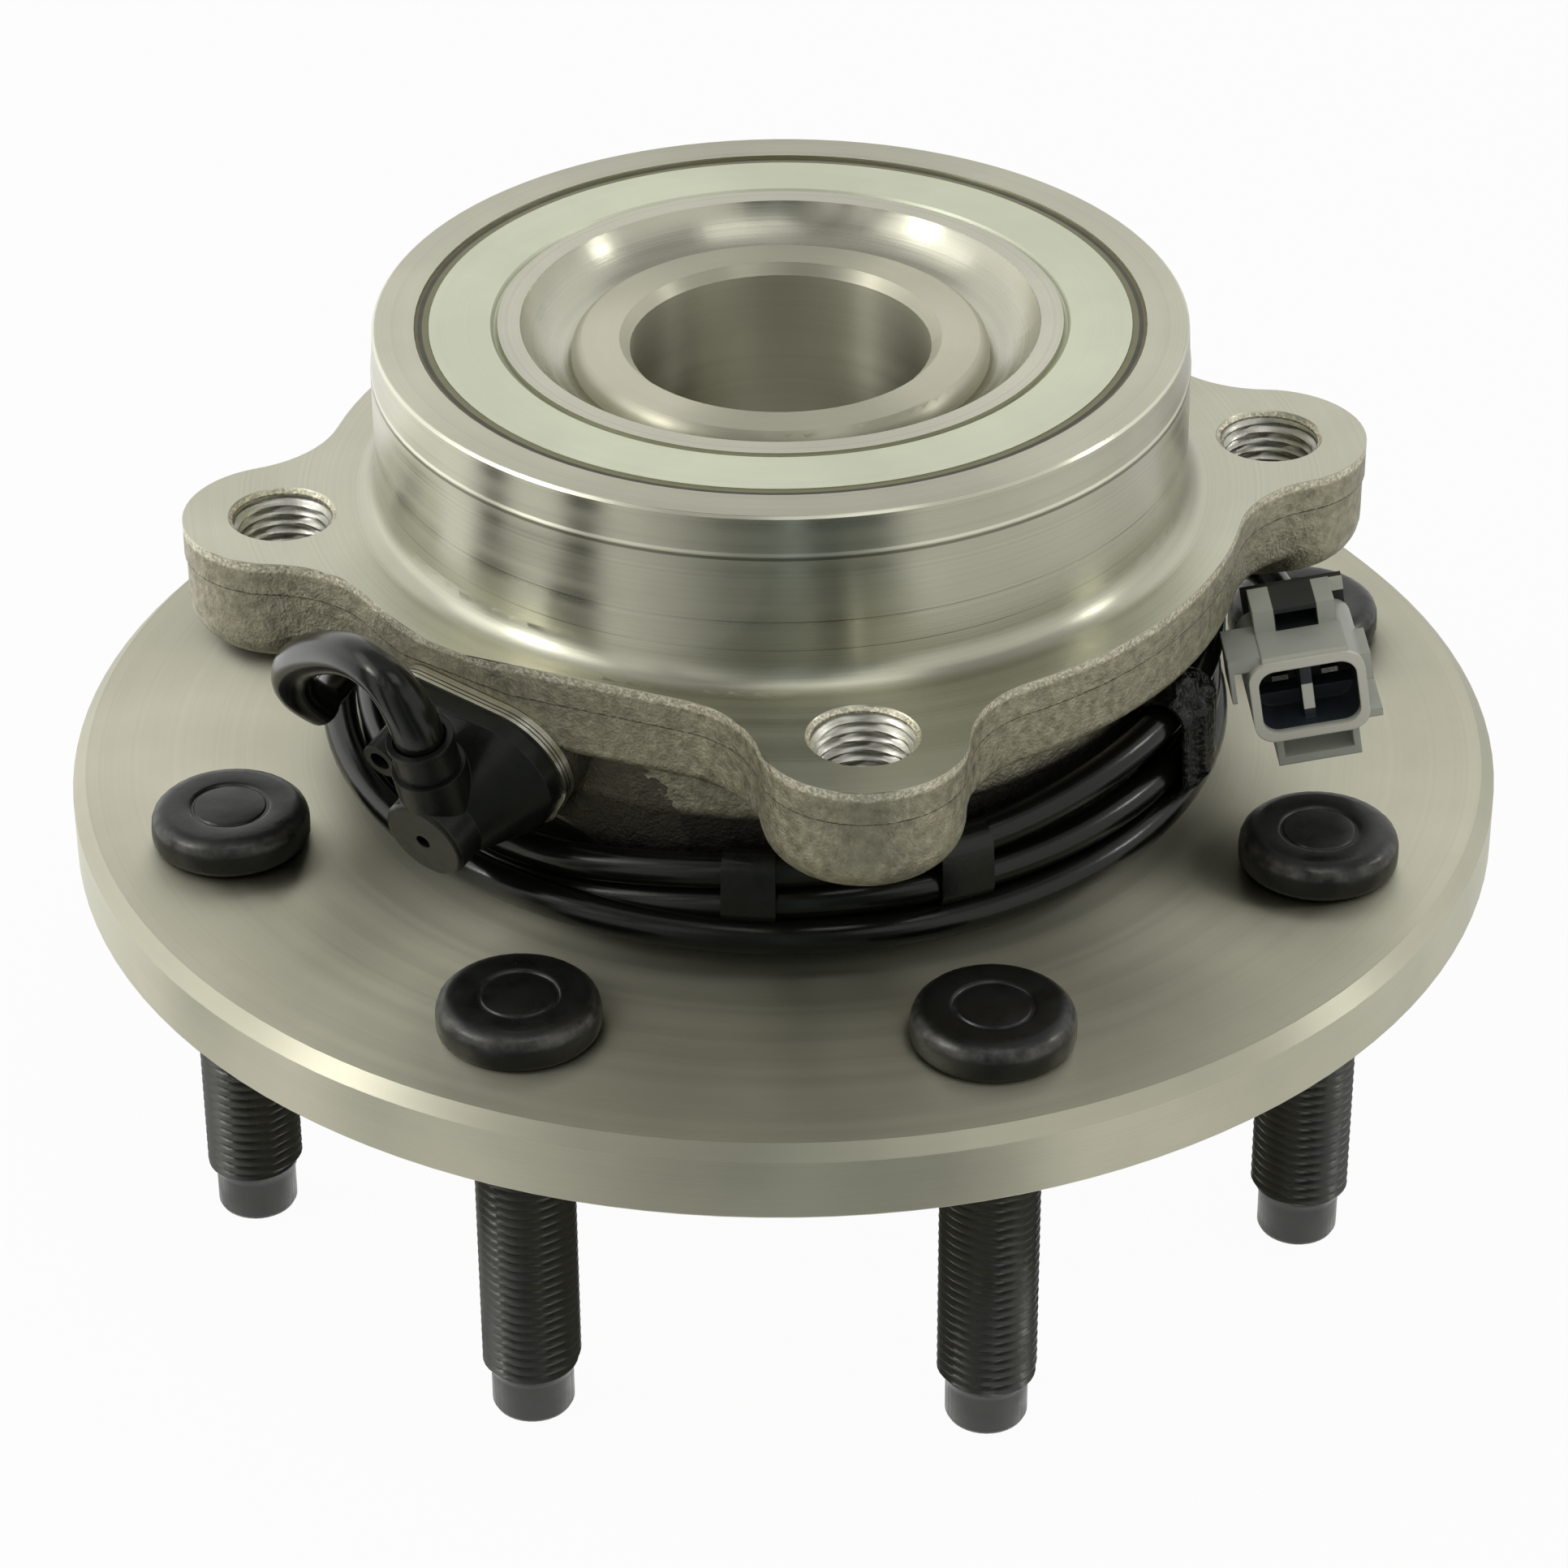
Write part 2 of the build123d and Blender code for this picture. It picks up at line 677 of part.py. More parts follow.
with BuildPart(SENSOR) as sensor_o_ring:
    with Locations((0, 0, -5.0)):
        Torus(PROBE_R - 0.65, 0.65)
save(sensor_o_ring.part, "sensor_o_ring")

TOWER = Plane(
    origin=SENSOR.from_local_coords((0, TOWER_STEP, TOWER_AT)),
    x_dir=SENSOR.x_dir,
    z_dir=SENSOR.y_dir,
)
with BuildPart(TOWER) as lead_collar:
    Cylinder(COLLAR_R, TOWER_TOP - TOWER_STEP, align=(Align.CENTER, Align.CENTER, Align.MIN))
    with Locations((0, 0, TOWER_TOP - TOWER_STEP)):
        Cylinder(COLLAR_R + LIP_OUT, LIP_H, align=(Align.CENTER, Align.CENTER, Align.MAX))
        Hole(SOCKET_R, SOCKET_D)
save(lead_collar.part, "lead_collar")


# Lead: a sleeved hook at the sensor, a coil round the neck, and the tail to the connector
def bend_radii(points):
    """The radius at each corner of a route, as 0.45 of the shorter run beside it allows."""
    found = []
    for a, b, c in zip(points, points[1:], points[2:], strict=False):
        before = Vector(*b) - Vector(*a)
        after = Vector(*c) - Vector(*b)
        half = radians(before.get_angle(after)) / 2
        found.append(0.45 * min(before.length, after.length) / tan(half))
    return found


def tube(points, radius, name):
    radii = bend_radii(points)
    print(name, "bend radii", [round(r, 1) for r in radii])
    with BuildPart() as run:
        with BuildLine() as path:
            FilletPolyline(*points, radius=radii)
        with BuildSketch(Plane(origin=path.line @ 0, z_dir=path.line % 0)):
            Circle(radius)
        sweep()
    return run.part


UPPER_MID_R = (UPPER_IN_R + UPPER_OUT_R) / 2
BOOT_ROUTE = [
    tuple(SENSOR.from_local_coords((0, TOWER_TOP - SOCKET_D, TOWER_AT))),
    tuple(SENSOR.from_local_coords((0, TOWER_TOP + 5.6, TOWER_AT))),
    (-53.5, -55.9, 56.0),
    (-59.1, -48.2, 54.2),
    (-66.7, -34.2, 44.4),
    (-68.0, -28.2, 35.5),
    (-64.4, -23.4, 30.2),
    (-UPPER_MID_R, -8.0, 29.4),
    (-UPPER_MID_R, 0, 29.4),
]
save(tube(BOOT_ROUTE, SLEEVE_TUBE_R, "lead_boot"), "lead_boot")


def ring_sector(points, start_az, turn):
    """A ring section swept through an angle about Z, from an azimuth anticlockwise."""
    start = Plane(
        origin=(0, 0, 0),
        x_dir=polar(1, start_az, 0),
        z_dir=polar(1, start_az - 90, 0),
    )
    with BuildPart() as sector:
        with BuildSketch(start):
            Polygon(*points, align=None)
        revolve(axis=Axis.Z, revolution_arc=turn)
    return sector.part


def box_section(r0, r1, z0, z1, grow=0.0):
    return [
        (r0 - grow, z0 - grow),
        (r1 + grow, z0 - grow),
        (r1 + grow, z1 + grow),
        (r0 - grow, z1 + grow),
    ]


COIL = (COIL_IN_R, COIL_OUT_R, COIL_LOW_Z, COIL_HIGH_Z)
UPPER = (UPPER_IN_R, UPPER_OUT_R, COIL_HIGH_Z - 1, UPPER_HIGH_Z)
with BuildPart() as lead_coil:
    add(turned(box_section(*COIL)))
    add(ring_sector(box_section(*UPPER), UPPER_START_AZ, UPPER_END_AZ - UPPER_START_AZ))
save(lead_coil.part, "lead_coil")


def add_band(az, width):
    """A band round the coil's section, its walls BAND_T thick."""
    turn = degrees(width / COIL_OUT_R)
    add(ring_sector(box_section(*COIL, grow=BAND_T), az - turn / 2, turn))
    add(ring_sector(box_section(*COIL), az - turn / 2 - 1, turn + 2), mode=Mode.SUBTRACT)


with BuildPart() as tape_bands:
    add_band(-4.5, 7.5)
    add_band(23.5, 7.0)
save(tape_bands.part, "tape_bands")

with BuildPart() as tape_wrap:
    add_band(64.0, 9.0)
save(tape_wrap.part, "tape_wrap")

TAIL_START_R = UPPER_OUT_R + LEAD_R + 0.4
TAIL_START_Z = COIL_HIGH_Z + LEAD_R
TAIL_ROUTE = [
    polar(TAIL_START_R, 143.0, TAIL_START_Z),
    polar(TAIL_START_R + 0.9, 130.0, TAIL_START_Z + 0.8),
    polar(67.8, 113.0, 28.4),
    polar(71.0, 101.0, 30.0),
    tuple(CONN.from_local_coords((0, 0, -CONN_D - REAR_D - NECK_D - 5.0))),
    tuple(CONN.from_local_coords((0, 0, -CONN_D - REAR_D - NECK_D))),
]
save(tube(TAIL_ROUTE, LEAD_R, "lead_tail"), "lead_tail")


# Connector, in its own frame: x across, y up and z out of its mouth
def block(x0, x1, y0, y1, z0, z1, mode=Mode.ADD):
    """A box between two corners."""
    with Locations(((x0 + x1) / 2, (y0 + y1) / 2, (z0 + z1) / 2)):
        Box(x1 - x0, y1 - y0, z1 - z0, mode=mode)


W = CONN_W / 2
H = CONN_H / 2
BACK = -CONN_D
FLOOR = -CAVITY_D - 0.1
with BuildPart() as housing:
    with BuildSketch():
        RectangleRounded(CONN_W, CONN_H, 3.0)
    extrude(amount=BACK)
    # The ledge, the lock block and the window between its posts
    block(-W + 2.2, W - 2.2, H - 1, H + 0.8, LOCK_Z, -0.6)
    block(-W + 2.2, W - 2.6, H - 1, H + LOCK_H, BACK + 1, LOCK_Z)
    block(-2.9, 2.9, H + 0.8, H + LOCK_H - 0.8, BACK + 2.5, LOCK_Z, mode=Mode.SUBTRACT)
    # The guide tabs at the sides
    block(-W - 1.8, -W + 2.4, H - 1.6, H + 0.6, BACK + 5, -1.5)
    block(-W - 2.5, -W - 1.8, H - 6.4, H + 0.6, BACK + 5, -1.5)
    block(W - 1, W + 1.0, 0.8, H - 1.4, -8.0, -1.0)
    block(W - 1, W + 1.8, -H + 0.6, -H + 1.8, -11.0, -1.5)
    # The bottom rail on its two webs
    block(-W + 2.8, -W + 3.8, -H - RAIL_H, -H + 1, -11.0, -1.2)
    block(W - 2.8, W - 1.8, -H - RAIL_H, -H + 1, -11.0, -1.2)
    block(-W + 2.8, W - 1.8, -H - RAIL_H, -H - RAIL_H + 1.3, -11.0, -1.2)
    with BuildSketch():
        RectangleRounded(CONN_W - 2 * CONN_WALL, CONN_H - 2 * CONN_WALL, 2.4)
    extrude(amount=-CAVITY_D, mode=Mode.SUBTRACT)
    # The keying rib and the step in the floor of the mouth
    block(-0.8, 0.8, -H + 1, H - 1, FLOOR, -3.0)
    block(-W + 1, W - 1, -H + 1, -H + CONN_WALL + 2.2, FLOOR, LOCK_Z)
    with Locations((-BLADE_PITCH / 2, BLADE_Y, BACK), (BLADE_PITCH / 2, BLADE_Y, BACK)):
        Box(BLADE_W, BLADE_T, CONN_D, mode=Mode.SUBTRACT)
save(CONN * housing.part, "connector_housing")

with BuildPart() as terminals:
    with Locations((-BLADE_PITCH / 2, BLADE_Y, BACK), (BLADE_PITCH / 2, BLADE_Y, BACK)):
        Box(BLADE_W, BLADE_T, CAVITY_D, align=(Align.CENTER, Align.CENTER, Align.MIN))
save(CONN * terminals.part, "connector_terminals")

with BuildPart() as rear:
    block(-W + 1.6, W - 1.6, -H + 1.6, H - 1.4, BACK - REAR_D, BACK)
    with Locations((0, 0, BACK - REAR_D)):
        Cylinder(LEAD_R + 1.0, NECK_D, align=(Align.CENTER, Align.CENTER, Align.MAX))
save(CONN * rear.part, "connector_rear")

with BuildPart() as clip:
    block(-W + 1.4, W - 0.6, H - 1.4, H + 3.4, BACK - 1.2, BACK)
    block(W - 4.4, W - 0.6, H + 1.6, H + 3.4, BACK, BACK + 0.8)
save(CONN * clip.part, "connector_clip")

print(len(FILES), "files")
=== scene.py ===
import math

import bmesh
import bpy
from mathutils import Matrix, Vector, noise


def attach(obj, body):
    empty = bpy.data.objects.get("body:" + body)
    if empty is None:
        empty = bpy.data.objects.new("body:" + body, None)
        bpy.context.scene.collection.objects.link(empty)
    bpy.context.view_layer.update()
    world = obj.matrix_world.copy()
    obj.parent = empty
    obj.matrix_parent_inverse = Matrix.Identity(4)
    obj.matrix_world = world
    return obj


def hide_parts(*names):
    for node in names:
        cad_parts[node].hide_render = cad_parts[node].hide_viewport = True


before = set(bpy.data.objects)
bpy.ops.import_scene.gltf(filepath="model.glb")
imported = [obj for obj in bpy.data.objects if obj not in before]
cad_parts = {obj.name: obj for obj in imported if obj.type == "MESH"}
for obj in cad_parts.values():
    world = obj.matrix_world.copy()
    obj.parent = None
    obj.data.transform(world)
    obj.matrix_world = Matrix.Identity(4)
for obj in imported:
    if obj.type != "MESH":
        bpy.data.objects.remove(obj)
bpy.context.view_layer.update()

# Studio: a white sweep under two soft boxes. Gloss also sees a round screen, as in a light tent:
# white round the back and sides, dim in front but for a narrow cool gap, with two dark poles on
# the left, and a small bright card on each side.
MM = 0.001


def placed(name, data):
    """A new object in the scene."""
    thing = bpy.data.objects.new(name, data)
    bpy.context.scene.collection.objects.link(thing)
    return thing


def opened(material):
    """A material's nodes and links."""
    material.use_nodes = True
    return material.node_tree.nodes, material.node_tree.links


def reckon(nodes, links, operation, *values):
    """The result of a sum; each value may be a number or a socket."""
    worked = nodes.new("ShaderNodeMath")
    worked.operation = operation
    for value, socket in zip(values, worked.inputs):
        if isinstance(value, float):
            socket.default_value = value
        else:
            links.new(value, socket)
    return worked.outputs[0]


def stretch(nodes, links, value, from_min, from_max, to_min=0.0, to_max=1.0):
    """A value carried from one span to another, and held at its ends."""
    span = nodes.new("ShaderNodeMapRange")
    span.inputs["From Min"].default_value = from_min
    span.inputs["From Max"].default_value = from_max
    span.inputs["To Min"].default_value = to_min
    span.inputs["To Max"].default_value = to_max
    links.new(value, span.inputs["Value"])
    return span.outputs["Result"]


tilt = 0.567795
roll = -0.006371
look = Vector((0, math.cos(tilt), -math.sin(tilt)))
side = Vector((1, 0, 0))
rise = side.cross(look)
across = side * math.cos(roll) + rise * math.sin(roll)
upward = rise * math.cos(roll) - side * math.sin(roll)
eye = Vector((0.0763, 0, 1.6859)) * MM - look * 0.765018
camera_data = bpy.data.cameras.new("camera")
camera_data.lens = 119.975
camera_data.sensor_width = 36
camera_data.clip_start = 0.01
camera = placed("camera", camera_data)
camera.matrix_world = Matrix(
    (
        (across.x, upward.x, -look.x, eye.x),
        (across.y, upward.y, -look.y, eye.y),
        (across.z, upward.z, -look.z, eye.z),
        (0, 0, 0, 1),
    )
)
bpy.context.scene.camera = camera
bpy.context.scene.view_settings.view_transform = "Standard"

AIM = Vector((0, 0, 0.02))


def soft_box(name, place, size, watts):
    """A soft box that faces the part."""
    lamp = bpy.data.lights.new(name, "AREA")
    lamp.shape = "RECTANGLE"
    lamp.size, lamp.size_y = size
    lamp.energy = watts
    holder = placed(name, lamp)
    holder.location = place
    holder.rotation_euler = (AIM - Vector(place)).to_track_quat("-Z", "Y").to_euler()


soft_box("box left", (-0.8, -0.1, 0.6), (0.8, 0.7), 2.0)
soft_box("box above", (0.15, -0.35, 0.95), (0.5, 0.4), 0.9)

# The screen's tone by azimuth in degrees, from the front towards the right
SCREEN = [
    (-180, (1.0, 1.0, 1.0)),
    (-130, (1.3, 1.3, 1.3)),
    (-105, (1.55, 1.55, 1.55)),
    (-86, (1.3, 1.3, 1.3)),
    (-82, (0.05, 0.05, 0.04)),
    (-76, (0.05, 0.05, 0.04)),
    (-72, (1.15, 1.15, 1.15)),
    (-58, (1.1, 1.1, 1.1)),
    (-55, (0.04, 0.04, 0.03)),
    (-48, (0.04, 0.04, 0.03)),
    (-45, (1.0, 1.0, 1.0)),
    (-28, (0.62, 0.62, 0.61)),
    (-14, (0.20, 0.21, 0.20)),
    (-2, (0.13, 0.15, 0.14)),
    (3, (0.46, 0.53, 0.56)),
    (7, (0.10, 0.12, 0.12)),
    (24, (0.13, 0.15, 0.15)),
    (34, (0.92, 0.92, 0.91)),
    (70, (0.86, 0.86, 0.85)),
    (120, (0.88, 0.88, 0.88)),
    (140, (0.66, 0.66, 0.66)),
    (160, (0.92, 0.92, 0.92)),
    (180, (1.0, 1.0, 1.0)),
]
SCREEN_SIDES = 96
screen_shell = bmesh.new()
rings = []
for screen_r, screen_z in ((0.17, -0.05), (0.9, -0.05), (0.9, 1.0), (0.6, 1.45), (0.1, 1.6)):
    ring = []
    for i in range(SCREEN_SIDES):
        a = 2 * math.pi * i / SCREEN_SIDES
        ring.append(screen_shell.verts.new((screen_r * math.sin(a), -screen_r * math.cos(a), screen_z)))
    rings.append(ring)
for lower, upper in zip(rings, rings[1:]):
    for i in range(SCREEN_SIDES):
        j = (i + 1) % SCREEN_SIDES
        screen_shell.faces.new((lower[i], lower[j], upper[j], upper[i]))
screen_mesh = bpy.data.meshes.new("screen")
screen_shell.to_mesh(screen_mesh)
screen_shell.free()
screen_paint = bpy.data.materials.new("screen")
nodes, links = opened(screen_paint)
nodes.remove(nodes["Principled BSDF"])
spot = nodes.new("ShaderNodeSeparateXYZ")
links.new(nodes.new("ShaderNodeTexCoord").outputs["Object"], spot.inputs[0])
front = reckon(nodes, links, "MULTIPLY", spot.outputs["Y"], -1.0)
bearing = reckon(nodes, links, "ARCTAN2", spot.outputs["X"], front)
narrower = stretch(nodes, links, spot.outputs["Z"], 0.3, 0.5, 1.0, 1.6)
spread = reckon(nodes, links, "MULTIPLY", bearing, narrower)
tones = nodes.new("ShaderNodeValToRGB")
stops = tones.color_ramp.elements
stops[0].position, stops[0].color = 0.0, (*SCREEN[0][1], 1)
stops[1].position, stops[1].color = 1.0, (*SCREEN[-1][1], 1)
for azimuth, tone in SCREEN[1:-1]:
    stops.new((azimuth + 180) / 360).color = (*tone, 1)
links.new(stretch(nodes, links, spread, -math.pi, math.pi), tones.inputs["Fac"])
glow = nodes.new("ShaderNodeEmission")
links.new(tones.outputs["Color"], glow.inputs["Color"])
overhead = stretch(nodes, links, spot.outputs["Z"], 0.85, 1.1, 1.14, 0.5)
low = stretch(nodes, links, spot.outputs["Z"], 0.0, 0.3, 0.86, 1.0)
links.new(reckon(nodes, links, "MULTIPLY", overhead, low), glow.inputs["Strength"])
links.new(glow.outputs[0], nodes["Material Output"].inputs["Surface"])
screen_mesh.materials.append(screen_paint)


def only_in_gloss(thing):
    """Hides a thing from all but gloss, so that it lights nothing and casts no shadow."""
    thing.visible_camera = False
    thing.visible_diffuse = False
    thing.visible_shadow = False
    thing.visible_transmission = False


screen = placed("screen", screen_mesh)
only_in_gloss(screen)

card_paint = bpy.data.materials.new("card")
nodes, links = opened(card_paint)
nodes.remove(nodes["Principled BSDF"])
glow = nodes.new("ShaderNodeEmission")
glow.inputs["Strength"].default_value = 16.0
links.new(glow.outputs[0], nodes["Material Output"].inputs["Surface"])
for name, spot, size in (("card left", (-0.70, -0.24, 0.47), 0.15), ("card right", (0.73, 0.04, 0.46), 0.1)):
    bpy.ops.mesh.primitive_plane_add(size=size, location=spot)
    card = bpy.context.object
    card.name = name
    card.rotation_euler = (AIM - card.location).to_track_quat("Z", "Y").to_euler()
    card.data.materials.append(card_paint)
    only_in_gloss(card)

world = bpy.data.worlds.new("studio")
bpy.context.scene.world = world
world.use_nodes = True
nodes, links = world.node_tree.nodes, world.node_tree.links
nodes.clear()


def seen_directly(nodes, links):
    """1 where the camera, gloss or glass looks at a surface, 0 where it only lights the others."""
    ray = nodes.new("ShaderNodeLightPath")
    either = ray.outputs["Is Camera Ray"]
    for kind in ("Is Glossy Ray", "Is Transmission Ray"):
        either = reckon(nodes, links, "MAXIMUM", either, ray.outputs[kind])
    return either


out = nodes.new("ShaderNodeOutputWorld")
dim = nodes.new("ShaderNodeBackground")
dim.inputs["Color"].default_value = (1.0, 0.99, 0.95, 1)
dim.inputs["Strength"].default_value = 0.42
white = nodes.new("ShaderNodeBackground")
white.inputs["Color"].default_value = (1, 1, 1, 1)
white.inputs["Strength"].default_value = 1.0
blend = nodes.new("ShaderNodeMixShader")
links.new(seen_directly(nodes, links), blend.inputs["Fac"])
links.new(dim.outputs[0], blend.inputs[1])
links.new(white.outputs[0], blend.inputs[2])
links.new(blend.outputs[0], out.inputs["Surface"])

bpy.ops.mesh.primitive_plane_add(size=6, location=(0, 0, -0.0532))
floor = bpy.context.object
floor.name = "floor"
pale = bpy.data.materials.new("pale floor")
nodes, links = opened(pale)
shader = nodes["Principled BSDF"]
shader.inputs["Base Color"].default_value = (0.9, 0.9, 0.9, 1)
shader.inputs["Roughness"].default_value = 1.0
shader.inputs["Specular IOR Level"].default_value = 0.0
glow = nodes.new("ShaderNodeEmission")
glow.inputs["Strength"].default_value = 1.0
mixed = nodes.new("ShaderNodeMixShader")
links.new(reckon(nodes, links, "MULTIPLY", seen_directly(nodes, links), 0.96), mixed.inputs["Fac"])
links.new(shader.outputs[0], mixed.inputs[1])
links.new(glow.outputs[0], mixed.inputs[2])
links.new(mixed.outputs[0], nodes["Material Output"].inputs["Surface"])
floor.data.materials.append(pale)


# Hub: one steel forging, turned all over on its face, rim and bore. The tool leaves fine rings
# round the axis, and handling leaves faint smudges. The studs are pressed through the flange.
def noise_at(nodes, links, vector, scale, detail, low, high, from_min=0.3, from_max=0.7):
    """Noise over a vector, stretched to run from low to high."""
    field = nodes.new("ShaderNodeTexNoise")
    field.inputs["Scale"].default_value = scale
    field.inputs["Detail"].default_value = detail
    links.new(vector, field.inputs["Vector"])
    return stretch(nodes, links, field.outputs["Fac"], from_min, from_max, low, high)


def mix_colours(nodes, links, share, first, second, blend_type="MIX"):
    """One colour over another; each may be a plain colour or a socket."""
    mix = nodes.new("ShaderNodeMix")
    mix.data_type = "RGBA"
    mix.blend_type = blend_type
    if isinstance(share, float):
        mix.inputs["Factor"].default_value = share
    else:
        links.new(share, mix.inputs["Factor"])
    for value, socket in ((first, mix.inputs[6]), (second, mix.inputs[7])):
        if isinstance(value, tuple):
            socket.default_value = (*value, 1)
        else:
            links.new(value, socket)
    return mix.outputs[2]


def bumpy(nodes, links, height, strength, depth, normal=None):
    """A surface's normal over bumps of a height, depth mm deep, on top of another normal if given."""
    bump = nodes.new("ShaderNodeBump")
    bump.inputs["Strength"].default_value = strength
    bump.inputs["Distance"].default_value = depth * MM
    links.new(height, bump.inputs["Height"])
    if normal:
        links.new(normal, bump.inputs["Normal"])
    return bump.outputs[0]


def ring_vector(nodes, links):
    """The place, (radius, height, 0), the height and the radius. Noise on the second makes rings."""
    place = nodes.new("ShaderNodeTexCoord")
    split = nodes.new("ShaderNodeSeparateXYZ")
    links.new(place.outputs["Object"], split.inputs[0])
    flat = nodes.new("ShaderNodeCombineXYZ")
    links.new(split.outputs["X"], flat.inputs["X"])
    links.new(split.outputs["Y"], flat.inputs["Y"])
    length = nodes.new("ShaderNodeVectorMath")
    length.operation = "LENGTH"
    links.new(flat.outputs[0], length.inputs[0])
    pair = nodes.new("ShaderNodeCombineXYZ")
    links.new(length.outputs["Value"], pair.inputs["X"])
    links.new(split.outputs["Z"], pair.inputs["Y"])
    return place.outputs["Object"], pair.outputs[0], split.outputs["Z"], length.outputs["Value"]


def turned_steel(name, light, dark, rough, grip, mark, bump=0.02):
    """Steel from a lathe: rings of slightly different shine, stretched highlights, faint smudges."""
    steel = bpy.data.materials.new(name)
    nodes, links = opened(steel)
    shader = nodes["Principled BSDF"]
    shader.inputs["Metallic"].default_value = 1.0
    shader.inputs["Anisotropic"].default_value = grip
    shader.inputs["Anisotropic Rotation"].default_value = 0.25
    place, rings = ring_vector(nodes, links)[:2]
    fine = noise_at(nodes, links, rings, 2600, 1, 0, 1)
    broad = noise_at(nodes, links, rings, 420, 2, 0, 1)
    smudge = noise_at(nodes, links, place, 28, 5, 0, 1, 0.42, 0.72)
    bands = mix_colours(nodes, links, fine, dark, light)
    tone = mix_colours(nodes, links, broad, bands, light)
    stain = mix_colours(nodes, links, 0.16, tone, smudge, "MULTIPLY")
    links.new(stain, shader.inputs["Base Color"])
    links.new(reckon(nodes, links, "MULTIPLY_ADD", broad, mark, rough), shader.inputs["Roughness"])
    links.new(bumpy(nodes, links, fine, 0.35, bump), shader.inputs["Normal"])
    tangent = nodes.new("ShaderNodeTangent")
    tangent.direction_type = "RADIAL"
    tangent.axis = "Z"
    links.new(tangent.outputs[0], shader.inputs["Tangent"])
    return steel


def finish(node, material):
    """Gives a CAD node one material."""
    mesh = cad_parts[node].data
    mesh.materials.clear()
    mesh.materials.append(material)


HUB_LIGHT = (0.54, 0.525, 0.407)
HUB_DARK = (0.50, 0.487, 0.378)
hub_steel = turned_steel(
    "turned hub steel", HUB_LIGHT, HUB_DARK, rough=0.42, grip=0.87, mark=0.04, bump=0.01
)
finish("wheel_hub", hub_steel)


# Wheel studs: eight cold-headed steel studs, black phosphated, M14 with a rolled 1.5 mm thread
# and a plain lead-in point. The domed head keeps the ring of the heading die.
STUD_CIRCLE = 82.55 * MM
STUD_FIRST = -25.43
HEAD_R = 11.15
SHANK_R = 7.38
HEAD_TOP = 16.5
FLANGE_TOP = 11.0
THREAD_R = 7.0
THREAD_DEPTH = 0.85
PITCH = 1.5
THREAD_TOP = -0.6
THREAD_END = -44.4
STUD_TIP = -52.9
POINT_R = 5.74
STEPS = 36
ROWS_A_TURN = 6
CREASE = math.radians(35)
FAR_BELOW = -1.0
WORN_STEEL = (0.10, 0.098, 0.085)
ROLLED_STEEL = (0.05, 0.05, 0.043)


def ring_of(shell, radius, z):
    """A ring of corners; the radius, in mm, may be a function of the turn."""
    ring = []
    for i in range(STEPS):
        a = 2 * math.pi * i / STEPS
        r = radius(i / STEPS) if callable(radius) else radius
        ring.append(shell.verts.new((r * math.cos(a) * MM, r * math.sin(a) * MM, z * MM)))
    return ring


def walls(shell, loops):
    """Faces from each ring of corners to the next."""
    for upper, lower in zip(loops, loops[1:]):
        for i in range(len(upper)):
            j = (i + 1) % len(upper)
            shell.faces.new((upper[i], lower[i], lower[j], upper[j]))


def finished_mesh(name, shell, crease=CREASE):
    """A mesh with its faces outwards, smooth but for edges sharper than the crease."""
    bmesh.ops.recalc_face_normals(shell, faces=shell.faces)
    for face in shell.faces:
        face.smooth = True
    mesh = bpy.data.meshes.new(name)
    shell.to_mesh(mesh)
    shell.free()
    mesh.set_sharp_from_angle(angle=crease)
    return mesh


def thread_radius(z, major, depth, fade):
    """The radius round the turn at height z of a single-start thread."""

    def at(turn):
        phase = (z / PITCH + turn) % 1.0
        wave = abs(phase * 2 - 1)
        return major - depth * fade * min(max(wave * 1.25 - 0.05, 0), 1)

    return at


head_rows = [
    (0.6, HEAD_TOP - 0.1),
    (4.6, HEAD_TOP - 0.1),
    (4.95, HEAD_TOP - 0.16),
    (5.15, HEAD_TOP - 0.38),
    (5.45, HEAD_TOP - 0.38),
    (5.7, HEAD_TOP - 0.12),
    (6.1, HEAD_TOP - 0.02),
    (8.6, HEAD_TOP),
    (9.4, HEAD_TOP - 0.1),
    (10.15, HEAD_TOP - 0.45),
    (10.75, HEAD_TOP - 1.05),
    (11.08, HEAD_TOP - 1.9),
    (HEAD_R, HEAD_TOP - 2.8),
    (HEAD_R, FLANGE_TOP + 1.3),
    (11.02, FLANGE_TOP + 0.75),
    (10.6, FLANGE_TOP + 0.25),
    (10.1, FLANGE_TOP + 0.02),
    (SHANK_R, FLANGE_TOP + 0.02),
    (SHANK_R, 0.9),
    (THREAD_R - 0.05, 0.5),
]
thread_rows = []
for i in range(round((THREAD_TOP - THREAD_END) / PITCH * ROWS_A_TURN) + 1):
    z = THREAD_TOP - i * PITCH / ROWS_A_TURN
    fade = min(1, i / ROWS_A_TURN)
    thread_rows.append((thread_radius(z, THREAD_R, THREAD_DEPTH, fade), z))
point_rows = [
    (6.1, THREAD_END - 0.9),
    (POINT_R, THREAD_END - 1.9),
    (POINT_R, STUD_TIP + 1.3),
    (POINT_R - 0.3, STUD_TIP + 0.7),
    (POINT_R - 1.0, STUD_TIP + 0.15),
    (POINT_R - 1.6, STUD_TIP),
]
stud_shell = bmesh.new()
loops = [ring_of(stud_shell, radius, z) for radius, z in head_rows + thread_rows + point_rows]
walls(stud_shell, loops)
stud_shell.faces.new(loops[0])
stud_shell.faces.new(list(reversed(loops[-1])))
stud_pattern = placed("one stud", finished_mesh("one stud", stud_shell))


def band_mask(nodes, links, value, low, high, soft):
    """1 where a value lies between two limits, fading over soft outside them."""
    rising = stretch(nodes, links, value, low - soft, low)
    falling = stretch(nodes, links, value, high, high + soft, 1.0, 0.0)
    return reckon(nodes, links, "MULTIPLY", rising, falling)


